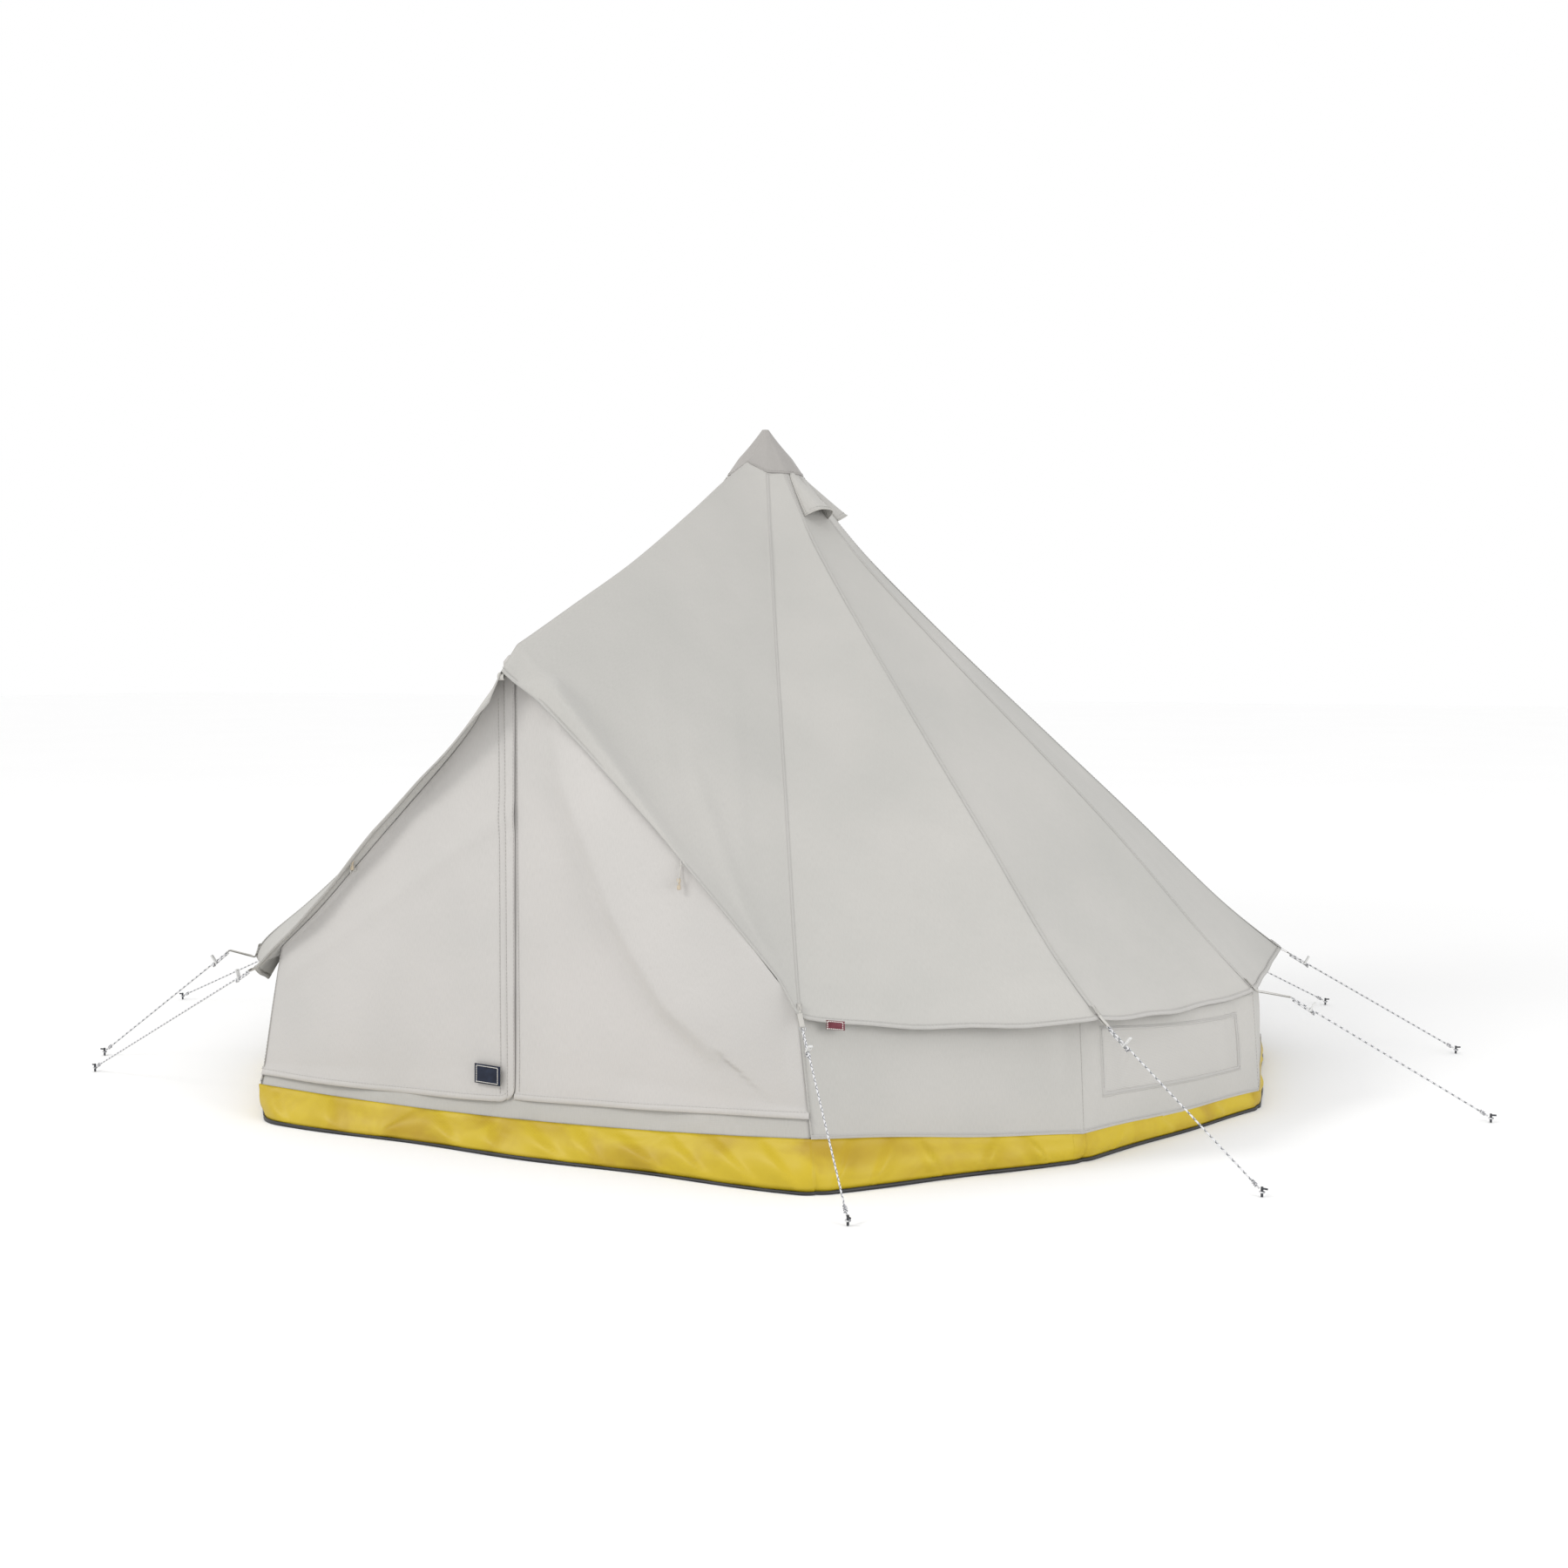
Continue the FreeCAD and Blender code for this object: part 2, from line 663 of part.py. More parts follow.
def make_a_frame():
    """Two straight legs, the elbow over their tops and a cup under each foot."""
    plane = -size("a_frame_plane")
    top = Vector(0, plane, size("a_frame_top"))
    arms = []
    bores = []
    cups = []
    for name, side in (("right", 1), ("left", -1)):
        foot = Vector(side * size("a_frame_foot_x"), plane, size("a_frame_foot_height"))
        run = top.sub(foot).normalize()
        leg = doc.addObject("Part::Cylinder", f"a_frame_leg_{name}")
        bind(leg, "Radius", "leg_radius")
        start = foot.add(run * size("leg_cup_socket"))
        leg.Height = top.sub(start).Length - size("elbow_seat")
        leg.Placement = along(start, top)
        keep(leg, f"a_frame_leg_{name}")
        arm = cylinder(f"elbow_arm_{name}", "elbow_radius", "elbow_arm")
        arm.Placement = along(top, foot)
        arms.append(arm)
        bore = cylinder(f"elbow_bore_{name}", "leg_radius + clearance", "elbow_arm")
        bore.Placement = along(top.sub(run * size("elbow_bore_start")), foot)
        bores.append(bore)
        block = cylinder(f"leg_cup_block_{name}", "leg_cup_radius", "leg_cup_height")
        block.Placement.Base = Vector(foot.x, foot.y, size("sheet_cloth") + size("clearance"))
        socket = cylinder(f"leg_cup_socket_{name}", "leg_radius + clearance", "2 * leg_cup_height")
        socket.Placement = along(start.sub(run), top)
        cups.append(cut(f"leg_cup_{name}", block, socket))
    knuckle = doc.addObject("Part::Sphere", "elbow_knuckle")
    bind(knuckle, "Radius", "elbow_radius")
    knuckle.Placement.Base = top
    arms_joined = fuse("elbow_arms", fuse("elbow_pair", arms[0], arms[1]), knuckle)
    keep(cut("a_frame_elbow", arms_joined, fuse("elbow_bores", bores[0], bores[1])), "a_frame_elbow")
    group("a_frame_feet", cups)


# ---------------------------------------------------------------- guy lines

def rope_line(corner):
    """The start and end of a corner's taut rope: from its webbing tab to its peg."""
    tip = eave_tip(corner)
    peg = peg_point(corner).add(Vector(0, 0, size("rope_end_height")))
    run = peg.sub(tip).normalize()
    start = tip.add(run * (size("tab_offset") + size("tab_length") + size("clearance")))
    end = peg.sub(run * (size("peg_radius") + size("rope_end_gap")))
    return tip, run, start, end


def make_guy_lines():
    tabs = []
    pegs = []
    slider_outline = [("0", "0"), ("slider_length", "0"), ("slider_length", "slider_width"),
                      ("0", "slider_width")]
    holes = [("slider_length / 2 - slider_hole_gap / 2", "slider_width / 2", "slider_hole_radius"),
             ("slider_length / 2 + slider_hole_gap / 2", "slider_width / 2", "slider_hole_radius")]
    first_hole = Vector(value(holes[0][0]), value(holes[0][1]), 0)
    for corner in range(CORNER_COUNT):
        number = f"{corner + 1:02d}"
        tip, run, start, end = rope_line(corner)
        rope = doc.addObject("Part::Cylinder", f"guy_rope_{number}")
        bind(rope, "Radius", "rope_radius")
        rope.Height = end.sub(start).Length
        rope.Placement = along(start, end)
        keep(rope, f"guy_rope_{number}")
        slider = outline_body(f"guy_slider_{number}", slider_outline, "slider_thick", holes)
        rest = along(tip.add(run * size("slider_place")), end)
        slider.Placement = rest.multiply(FreeCAD.Placement(first_hole.negative(), FreeCAD.Rotation()))
        keep(slider, f"guy_slider_{number}")
        tab = box(f"eave_tab_{number}", "cloth", "tab_width", "tab_length")
        corner_of_tab = Vector(-size("cloth") / 2, -size("tab_width") / 2, size("tab_offset"))
        tab.Placement = along(tip, end).multiply(
            FreeCAD.Placement(corner_of_tab, FreeCAD.Rotation()))
        tabs.append(tab)
        shank = cylinder(f"peg_shank_{number}", "peg_radius", "peg_height")
        hook = cylinder(f"peg_hook_{number}", "peg_hook_radius", "peg_hook")
        hook_start = Vector(0, 0, size("peg_hook_height"))
        hook.Placement = along(hook_start, hook_start.add(Vector(run.x, run.y, 0)))
        peg = fuse(f"peg_{number}", shank, hook)
        peg.Placement.Base = peg_point(corner)
        pegs.append(peg)
    group("eave_tabs", tabs)
    group("guy_pegs", pegs)


# ---------------------------------------------------------------- build, check and write

def check(thing):
    """Stops the build if an object failed or a sub-part is empty or not valid."""
    if "Invalid" in thing.State or "Error" in thing.State:
        raise RuntimeError(f"{thing.Name} failed: {thing.State}")
    if thing in subparts and (thing.Shape.isNull() or not thing.Shape.isValid()):
        raise RuntimeError(f"{thing.Label} has no valid shape")


make_groundsheet()
make_walls()
make_windows()
make_roof()
make_roof_front()
make_peak_cap()
make_vents()
group("mesh_panels", meshes)
make_door()
make_zip_sliders()
make_toggles()
make_centre_pole()
make_a_frame()
make_guy_lines()
doc.recompute()
for thing in doc.Objects:
    check(thing)

os.makedirs("parts", exist_ok=True)
for subpart in subparts:
    subpart.Shape.exportStep(f"parts/{subpart.Label}.step")

for corner in range(CORNER_COUNT):
    rope = doc.getObject(f"guy_rope_{corner + 1:02d}")
    section = math.pi * size("rope_radius") ** 2
    ratio = rope.Shape.Volume / (section * rope.Height.Value)
    print(f"{rope.Label}: straight, {rope.Height.Value:.0f} mm long, volume over section x length {ratio:.4f}")
print(f"{len(subparts)} sub-parts written")
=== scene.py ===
import math
from bisect import bisect_right

import bpy
from mathutils import Matrix, Vector, noise


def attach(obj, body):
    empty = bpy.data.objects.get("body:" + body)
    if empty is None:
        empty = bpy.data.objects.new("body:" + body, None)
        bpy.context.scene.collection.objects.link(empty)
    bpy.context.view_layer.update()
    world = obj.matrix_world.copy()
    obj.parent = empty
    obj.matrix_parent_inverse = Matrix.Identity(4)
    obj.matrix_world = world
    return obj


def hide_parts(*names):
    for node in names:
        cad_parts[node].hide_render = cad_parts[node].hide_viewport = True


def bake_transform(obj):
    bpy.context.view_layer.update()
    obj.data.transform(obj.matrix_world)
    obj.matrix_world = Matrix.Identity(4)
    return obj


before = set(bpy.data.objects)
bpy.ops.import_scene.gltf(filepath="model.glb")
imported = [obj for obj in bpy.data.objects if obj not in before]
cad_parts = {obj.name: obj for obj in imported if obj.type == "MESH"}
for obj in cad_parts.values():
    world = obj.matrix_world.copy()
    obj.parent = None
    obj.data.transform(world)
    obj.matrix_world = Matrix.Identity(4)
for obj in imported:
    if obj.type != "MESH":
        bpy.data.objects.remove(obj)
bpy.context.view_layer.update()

UP = Vector((0, 0, 1))

# ------------------------------------------------------------ sizes shared by the pieces

REAR_STEP = (180 - 57.8) / 4
SIDE_ANGLES = [57.8 + REAR_STEP * step for step in range(5)]
CORNER_ANGLES = [31.4] + SIDE_ANGLES
CORNER_ANGLES += [360 - angle for angle in reversed(CORNER_ANGLES[:-1])]
SEAM_ANGLES = [30.4] + CORNER_ANGLES[1:10] + [329.6]
CORNERS = range(11)
DOOR_CORNERS = (0, 10)
SECOND_CORNERS = (1, 9)
WINDOW_SECTORS = (1, 3, 6, 8)
DOOR_Y = -1.755                 # the outside face of the door canvas
EAVE_RADIUS = 2.075
PEG_PLACES = [
    (33, 2.450), (62, 2.600), (92, 2.760), (118, 2.780), (142, 2.820), (180, 2.820),
    (211, 2.850), (241, 2.950), (271, 3.040), (297, 2.650), (304, 2.600),
]
ROPE_RADIUS = 0.003
CANVAS_THICKNESS = 0.0012       # drawn about twice as thick as the real cloth


def polar(angle, radius, height):
    """A point from its angle seen from above, its distance from the pole and its height."""
    turn = math.radians(angle)
    return Vector((radius * math.sin(turn), -radius * math.cos(turn), height))


def eave_height(corner):
    """Height of an eave tip: the roof climbs towards the door."""
    if corner in DOOR_CORNERS:
        return 0.527
    return 0.470 if corner in SECOND_CORNERS else 0.422


def eave_tip(corner):
    return polar(SEAM_ANGLES[corner], EAVE_RADIUS, eave_height(corner))


def level_out(point):
    """The level unit vector from the tent's axis towards a point."""
    return Vector((point.x, point.y, 0)).normalized()


def smooth(low, high, number):
    """0 below low, 1 above high, with a soft start and end."""
    share = min(max((number - low) / (high - low), 0.0), 1.0)
    return share * share * (3 - 2 * share)


def ripple(x, y, seed):
    """Smooth noise from -1 to 1, the same on every run."""
    return noise.noise(Vector((x, y, seed)))


def smooth_line(points):
    """A function of 0 to 1 along a smooth line through the points, even in length."""
    fine = []
    last = len(points) - 1
    for index in range(last):
        before, start = points[max(index - 1, 0)], points[index]
        end, after = points[index + 1], points[min(index + 2, last)]
        for step in range(16):
            t = step / 16
            bend = 2 * before - 5 * start + 4 * end - after
            swing = 3 * start - before - 3 * end + after
            fine.append(0.5 * (2 * start + (end - before) * t + bend * t * t + swing * t ** 3))
    fine.append(points[-1])
    reach = [0.0]
    for first, second in zip(fine, fine[1:]):
        reach.append(reach[-1] + (second - first).length)

    def at(share):
        place = min(max(share, 0.0), 1.0) * reach[-1]
        index = min(bisect_right(reach, place), len(fine) - 1)
        step = reach[index] - reach[index - 1]
        return fine[index - 1].lerp(fine[index], (place - reach[index - 1]) / step)
    return at


# ------------------------------------------------------------ camera and lights

def make_camera():
    """Eye height 1.6 m, 8 m from the pole, a little to the right of the door."""
    bearing, distance, height = 27.6, 8.066, 1.6
    azimuth = math.radians(bearing)
    yaw, pitch = math.radians(-0.52), math.radians(3.62)
    right = Vector((math.cos(azimuth), math.sin(azimuth), 0))
    ahead = Vector((-math.sin(azimuth), math.cos(azimuth), 0))
    right, ahead = (right * math.cos(yaw) + ahead * math.sin(yaw),
                    ahead * math.cos(yaw) - right * math.sin(yaw))
    ahead = ahead * math.cos(pitch) - UP * math.sin(pitch)
    upward = right.cross(ahead)
    turn = Matrix((right, upward, -ahead)).transposed().to_4x4()
    camera = bpy.data.objects.new("camera", bpy.data.cameras.new("camera"))
    camera.data.sensor_width = 36
    camera.data.lens = 46.7
    camera.data.clip_end = 200
    camera.matrix_world = Matrix.Translation(polar(bearing, distance, height)) @ turn
    bpy.context.scene.collection.objects.link(camera)
    bpy.context.scene.camera = camera


def area_light(name, place, target, width, power, colour):
    """A round soft light that shines from its place at a target."""
    lamp = bpy.data.lights.new(name, "AREA")
    lamp.shape = "DISK"
    lamp.size = width
    lamp.energy = power
    lamp.color = colour
    light = bpy.data.objects.new(name, lamp)
    light.location = place
    light.rotation_euler = (Vector(target) - Vector(place)).to_track_quat("-Z", "Y").to_euler()
    bpy.context.scene.collection.objects.link(light)


make_camera()

# ------------------------------------------------------------ materials


def linear(code):
    """An sRGB hex colour as the linear colour that a shader takes."""
    parts = [int(code[place:place + 2], 16) / 255 for place in (0, 2, 4)]
    return tuple(part / 12.92 if part <= 0.04045 else ((part + 0.055) / 1.055) ** 2.4
                 for part in parts) + (1.0,)


def add_node(tree, kind, settings=None, inputs=None):
    """One node; inputs takes plain values, or an output socket to link."""
    node = tree.nodes.new(kind)
    for key, content in (settings or {}).items():
        setattr(node, key, content)
    for key, content in (inputs or {}).items():
        if isinstance(content, bpy.types.NodeSocket):
            tree.links.new(content, node.inputs[key])
        else:
            node.inputs[key].default_value = content
    return node


def new_material(name, **uniform):
    """A material with its shader's uniform values set on the shader's own sockets."""
    material = bpy.data.materials.new(name)
    material.use_nodes = True
    tree = material.node_tree
    shader = tree.nodes["Principled BSDF"]
    for key, content in uniform.items():
        shader.inputs[key.replace("_", " ")].default_value = content
    return material, tree, shader


def two_tones(tree, amount, first, second, low=0.3, high=0.7):
    """The first colour where the amount is low, the second where it is high."""
    share = add_node(tree, "ShaderNodeMapRange", inputs={
        "Value": amount, "From Min": low, "From Max": high})
    return add_node(tree, "ShaderNodeMix", {"data_type": "RGBA"}, {
        0: share.outputs["Result"], 6: linear(first), 7: linear(second)}).outputs[2]


WAVE_REPEAT = 0.314             # metres between the bands of a wave texture of scale 1
SLUB_STRETCH = (420.0, 40.0, 1.0)   # thick places in the yarn: thin across, long along it


def woven(name, first, second, spacing, creases, roughness=0.88, sheen=0.12, mottle=1.6):
    """Cloth: a plain weave of the given spacing, slubs, soft creases and a mottled tone."""
    material, tree, shader = new_material(
        name, Roughness=roughness, Sheen_Weight=sheen, Sheen_Roughness=0.5,
        Specular_IOR_Level=0.25)
    place = add_node(tree, "ShaderNodeTexCoord")
    flat, solid = place.outputs["UV"], place.outputs["Object"]
    cloud = add_node(tree, "ShaderNodeTexNoise", {"noise_dimensions": "3D"},
                     {"Vector": solid, "Scale": mottle, "Detail": 3.0, "Roughness": 0.55})
    tone = two_tones(tree, cloud.outputs["Fac"], first, second)
    slub_place = add_node(tree, "ShaderNodeMapping", inputs={
        "Vector": flat, "Scale": SLUB_STRETCH})
    slub = add_node(tree, "ShaderNodeTexNoise", inputs={
        "Vector": slub_place.outputs[0], "Scale": 1.0, "Detail": 2.0})
    slub_tone = two_tones(tree, slub.outputs["Fac"], "FAFAFA", "FFFFFF", 0.35, 0.6)
    cloth = add_node(tree, "ShaderNodeMix", {"data_type": "RGBA", "blend_type": "MULTIPLY"},
                     {0: 1.0, 6: tone, 7: slub_tone})
    tree.links.new(cloth.outputs[2], shader.inputs["Base Color"])
    warp = add_node(tree, "ShaderNodeTexWave", {"bands_direction": "X"},
                    {"Vector": flat, "Scale": WAVE_REPEAT / spacing})
    weft = add_node(tree, "ShaderNodeTexWave", {"bands_direction": "Y"},
                    {"Vector": flat, "Scale": WAVE_REPEAT / spacing})
    weave = add_node(tree, "ShaderNodeMath", {"operation": "MULTIPLY"},
                     {0: warp.outputs["Fac"], 1: weft.outputs["Fac"]})
    crease = add_node(tree, "ShaderNodeTexNoise", inputs={
        "Vector": solid, "Scale": 7.0, "Detail": 4.0, "Roughness": 0.5, "Distortion": 0.6})
    weave_bump = add_node(tree, "ShaderNodeBump", inputs={
        "Height": weave.outputs[0], "Strength": 0.25, "Distance": 0.0006})
    crease_bump = add_node(tree, "ShaderNodeBump", inputs={
        "Height": crease.outputs["Fac"], "Strength": 0.6, "Distance": creases,
        "Normal": weave_bump.outputs[0]})
    tree.links.new(crease_bump.outputs[0], shader.inputs["Normal"])
    return material


def mesh_cloth():
    """Insect mesh: fine polyester net, drawn at 5 mm so that its holes can show."""
    material, tree, shader = new_material(
        "polyester_insect_mesh", Roughness=0.7, Specular_IOR_Level=0.3)
    place = add_node(tree, "ShaderNodeTexCoord")
    grid = []
    spacing, hole = 0.005, 0.34     # metres between threads, and how open the net is
    for direction in ("X", "Y"):
        wave = add_node(tree, "ShaderNodeTexWave", {"bands_direction": direction},
                        {"Vector": place.outputs["UV"], "Scale": WAVE_REPEAT / spacing})
        grid.append(add_node(tree, "ShaderNodeMath", {"operation": "GREATER_THAN"},
                             {0: wave.outputs["Fac"], 1: hole}).outputs[0])
    net = add_node(tree, "ShaderNodeMath", {"operation": "MAXIMUM"}, {0: grid[0], 1: grid[1]})
    tree.links.new(net.outputs[0], shader.inputs["Alpha"])
    tone = two_tones(tree, net.outputs[0], "B2B1AD", "BCBAB6")
    tree.links.new(tone, shader.inputs["Base Color"])
    return material


def coated(name, first, second, roughness):
    """Laminated groundsheet cloth: heavy polyester with a coat, so it shines where it creases."""
    material, tree, shader = new_material(name, Roughness=roughness, Specular_IOR_Level=0.42)
    place = add_node(tree, "ShaderNodeTexCoord")
    cloud = add_node(tree, "ShaderNodeTexNoise", inputs={
        "Vector": place.outputs["Object"], "Scale": 3.2, "Detail": 4.0, "Distortion": 0.8})
    tone = two_tones(tree, cloud.outputs["Fac"], first, second, 0.36, 0.58)
    tree.links.new(tone, shader.inputs["Base Color"])
    grain = add_node(tree, "ShaderNodeTexNoise", inputs={
        "Vector": place.outputs["Object"], "Scale": 5.0, "Detail": 2.0, "Distortion": 0.9})
    rib = 0.003                     # metres between the ribs of the cloth under the coat
    cloth = add_node(tree, "ShaderNodeTexWave", {"bands_direction": "DIAGONAL"},
                     {"Vector": place.outputs["UV"], "Scale": WAVE_REPEAT / rib})
    fine = add_node(tree, "ShaderNodeBump", inputs={
        "Height": cloth.outputs["Fac"], "Strength": 0.15, "Distance": 0.0004})
    folds = add_node(tree, "ShaderNodeBump", inputs={
        "Height": grain.outputs["Fac"], "Strength": 0.6, "Distance": 0.014,
        "Normal": fine.outputs[0]})
    tree.links.new(folds.outputs[0], shader.inputs["Normal"])
    return material


def braided():
    """Guy rope: white polyester braid with a grey fleck, a crossing every 12 mm."""
    material, tree, shader = new_material("polyester_guy_braid", Roughness=0.75, Sheen_Weight=0.2)
    crossing, strand_width = 0.012, 0.19
    place = add_node(tree, "ShaderNodeTexCoord")
    split = add_node(tree, "ShaderNodeSeparateXYZ", inputs={0: place.outputs["UV"]})
    along = add_node(tree, "ShaderNodeMath", {"operation": "MULTIPLY"},
                     {0: split.outputs[1], 1: 0.5 / crossing})
    lines = []
    for way in ("ADD", "SUBTRACT"):
        turn = add_node(tree, "ShaderNodeMath", {"operation": way},
                        {0: along.outputs[0], 1: split.outputs[0]})
        part = add_node(tree, "ShaderNodeMath", {"operation": "FRACT"}, {0: turn.outputs[0]})
        lines.append(add_node(tree, "ShaderNodeMath", {"operation": "LESS_THAN"},
                              {0: part.outputs[0], 1: strand_width}).outputs[0])
    fleck = add_node(tree, "ShaderNodeMath", {"operation": "MAXIMUM"}, {0: lines[0], 1: lines[1]})
    tone = two_tones(tree, fleck.outputs[0], "CDCDCF", "696B70", 0.4, 0.6)
    tree.links.new(tone, shader.inputs["Base Color"])
    strands = add_node(tree, "ShaderNodeBump", inputs={
        "Height": fleck.outputs[0], "Strength": 0.4, "Distance": 0.0005})
    tree.links.new(strands.outputs[0], shader.inputs["Normal"])
    return material


def hard(name, first, second, scale, stretch, bump, **uniform):
    """Metal, plastic, rubber or wood: two close tones in a grain, and a fine bump from it."""
    material, tree, shader = new_material(name, **uniform)
    place = add_node(tree, "ShaderNodeTexCoord")
    drawn = add_node(tree, "ShaderNodeMapping", inputs={
        "Vector": place.outputs["Object"], "Scale": stretch})
    grain = add_node(tree, "ShaderNodeTexNoise", inputs={
        "Vector": drawn.outputs[0], "Scale": scale, "Detail": 5.0, "Roughness": 0.6})
    tone = two_tones(tree, grain.outputs["Fac"], first, second)
    tree.links.new(tone, shader.inputs["Base Color"])
    relief = add_node(tree, "ShaderNodeBump", inputs={
        "Height": grain.outputs["Fac"], "Strength": 0.3, "Distance": bump})
    tree.links.new(relief.outputs[0], shader.inputs["Normal"])
    return material


# Cotton canvas, 285 g, undyed sand: matt, faint slubs, tone mottled by the loom and the light.
canvas = woven("cotton_canvas_roof", "ABAAA6", "B3B1AD", 0.003, 0.004)
# The same canvas in the door, drawn a little lighter: painted light for the brighter light that
# falls on the door's face.
door_canvas = woven("cotton_canvas_door_painted_lighter", "B5B3B0", "BCB9B6", 0.003, 0.005)
# Seam tape: the canvas folded double, coloured a little greyer than the roof: painted shade for the
# thin shadow line along each seam, hem and binding.
seam_tape_painted_shade = woven("cotton_canvas_seam_tape_painted_shade", "A9A8A4", "B0AEAB", 0.003, 0.001)
# Webbing: flat polyester strap, coarser than the canvas and with less nap.
webbing = woven("polyester_webbing", "B0AEA9", "BAB8B3", 0.004, 0.0005, sheen=0.05)
# Sewing thread: close to the canvas in tone; the lighter one borders the labels.
thread = woven("polyester_thread", "A5A3A0", "AEACA8", 0.001, 0.0002)
light_thread = woven("polyester_thread_light", "DAD7D2", "E2DFDA", 0.001, 0.0002)
# Woven labels: fine and dark, navy on the door and dull red under the eave.
patch_cloth = woven("woven_patch_navy", "171C2A", "232B3D", 0.002, 0.0004, mottle=40.0)
tag_cloth = woven("woven_tag_red", "5C2830", "703C45", 0.002, 0.0004, mottle=40.0)
# The peak is sewn double; its canvas is drawn darker than the roof's.
peak_canvas = woven("cotton_canvas_peak_double", "989592", "A09D9A", 0.003, 0.003)
# Insect mesh: seen through, so that windows and vents read darker than the canvas.
net = mesh_cloth()
# Groundsheet: laminated polyester, yellow outside and black under the floor, with a soft shine; the
# black edge that shows under the skirt is also painted shade for the contact shadow there.
yellow = coated("laminated_groundsheet_yellow", "A38614", "B9A11C", 0.5)
black = coated("laminated_groundsheet_black_and_painted_shade", "1C1D1F", "2B2B2C", 0.45)
# Guy rope: matt white braid whose grey fleck shows that it is rope.
braid = braided()
# Galvanised steel tube: grey zinc with a drawn grain along the tube.
steel = hard("galvanised_steel_tube", "8E9192", "A9ACAD", 14.0, (1, 1, 0.15), 0.0003,
             Metallic=1.0, Roughness=0.38)
# Pegs: bent galvanised wire, darkened by the ground.
peg_steel = hard("galvanised_peg_wire", "3C3D40", "5A5C60", 90.0, (1, 1, 1), 0.0003,
                 Metallic=1.0, Roughness=0.45)
# Rings and zip sliders: nickel plate, bright and smooth.
nickel = hard("nickel_plated_zinc", "A8A9AB", "C4C5C6", 120.0, (1, 1, 1), 0.0001,
                 Metallic=1.0, Roughness=0.28)
# Pole feet: black rubber, matt, with a moulded grain.
rubber = hard("moulded_rubber", "232323", "313131", 60.0, (1, 1, 1), 0.0004, Roughness=0.7)
# Line sliders: pale moulded nylon with a soft shine.
nylon = hard("moulded_nylon", "BFC0BF", "CFCFCE", 70.0, (1, 1, 1), 0.0002,
             Roughness=0.42, IOR=1.53)
# Toggles: beech turned along its grain, lightly oiled.
beech = hard("turned_beech", "A89A83", "BDB09B", 22.0, (6, 6, 0.7), 0.0003,
             Roughness=0.55, Coat_Weight=0.15)
# Zip tape: fine grey polyester, darker than the canvas beside it.
zip_tape = woven("polyester_zip_tape", "6F6D68", "7E7C77", 0.002, 0.0003)

# ------------------------------------------------------------ building helpers


def new_piece(name, points, faces, materials, uvs=None, flat_faces=False):
    """A mesh piece in the tent's frame; uvs has one pair in metres for each point."""
    mesh = bpy.data.meshes.new(name)
    mesh.from_pydata(points, [], faces)
    if not isinstance(materials, (list, tuple)):
        materials = [materials]
    for material in materials:
        mesh.materials.append(material)
    if uvs:
        layer = mesh.uv_layers.new(name="cut")
        corner_points = [0] * len(mesh.loops)
        mesh.loops.foreach_get("vertex_index", corner_points)
        layer.data.foreach_set("uv", [part for point in corner_points for part in uvs[point]])
    mesh.polygons.foreach_set("use_smooth", [not flat_faces] * len(mesh.polygons))
    mesh.update()
    piece = bpy.data.objects.new(name, mesh)
    bpy.context.scene.collection.objects.link(piece)
    return piece


def finish_mesh(piece):
    """Replaces a piece's mesh by what its modifiers make of it, and removes them."""
    graph = bpy.context.evaluated_depsgraph_get()
    mesh = bpy.data.meshes.new_from_object(piece.evaluated_get(graph))
    piece.modifiers.clear()
    piece.data = mesh
    return piece


def thicken(piece, thickness, offset=-1.0):
    """Gives a sheet its thickness; offset -1 puts it behind the modelled face."""
    wall = piece.modifiers.new("thickness", "SOLIDIFY")
    wall.thickness = thickness
    wall.offset = offset
    wall.use_quality_normals = True
    return finish_mesh(piece)


def grid_faces(columns, rows, closed=False, skip=None, start=0):
    """Quads of a grid whose point number is start + column * rows + row."""
    faces = []
    for column in range(columns if closed else columns - 1):
        after = (column + 1) % columns
        for row in range(rows - 1):
            if skip and skip(column, row):
                continue
            faces.append((start + column * rows + row, start + after * rows + row,
                          start + after * rows + row + 1, start + column * rows + row + 1))
    return faces


def turned(faces):
    """The same faces, seen from their other side."""
    return [tuple(reversed(face)) for face in faces]


def ring_faces(rings, count):
    """Quads between closed rings of points that follow each other in a list."""
    return [(ring * count + side, ring * count + (side + 1) % count,
             (ring + 1) * count + (side + 1) % count, (ring + 1) * count + side)
            for ring in range(rings - 1) for side in range(count)]


def grid_uvs(count, rows, across, along):
    """UVs in metres for a grid's points, from the cloth between two columns and two rows."""
    return [(index // rows * across, index % rows * along) for index in range(count)]


def circle(count):
    """Angles evenly round a circle."""
    return steps(0, 2 * math.pi, count)[:-1]


def surface(name, spot, firsts, seconds, material,
            closed=False, skip=None, flip=False, size=(1, 1)):
    """A sheet from a function of two numbers, with its UV map in metres."""
    points = [spot(first, second) for first in firsts for second in seconds]
    uvs = [(first * size[0], second * size[1]) for first in firsts for second in seconds]
    faces = grid_faces(len(firsts), len(seconds), closed, skip)
    if flip:
        faces = turned(faces)
    return new_piece(name, points, faces, material, uvs)


def steps(low, high, count):
    """Evenly spaced numbers from low to high, count steps apart."""
    return [low + (high - low) * index / count for index in range(count + 1)]


def normal_of(spot, first, second, reach=0.004):
    """The unit normal of a surface function at a spot."""
    across = spot(first + reach, second) - spot(first - reach, second)
    along = spot(first, second + reach) - spot(first, second - reach)
    return across.cross(along).normalized()


def ribbon(points, sides, normals, half_width, lift, edge_lift=0.0):
    """Points and faces of a flat sewn strip with soft edges along a line on a surface."""
    section = [(-1.0, edge_lift), (-0.86, lift), (0.0, lift * 1.15), (0.86, lift), (1.0, edge_lift)]
    spots = []
    for point, side, normal in zip(points, sides, normals):
        spots += [point + side * (across * half_width) + normal * up for across, up in section]
    return spots, grid_faces(len(points), len(section))


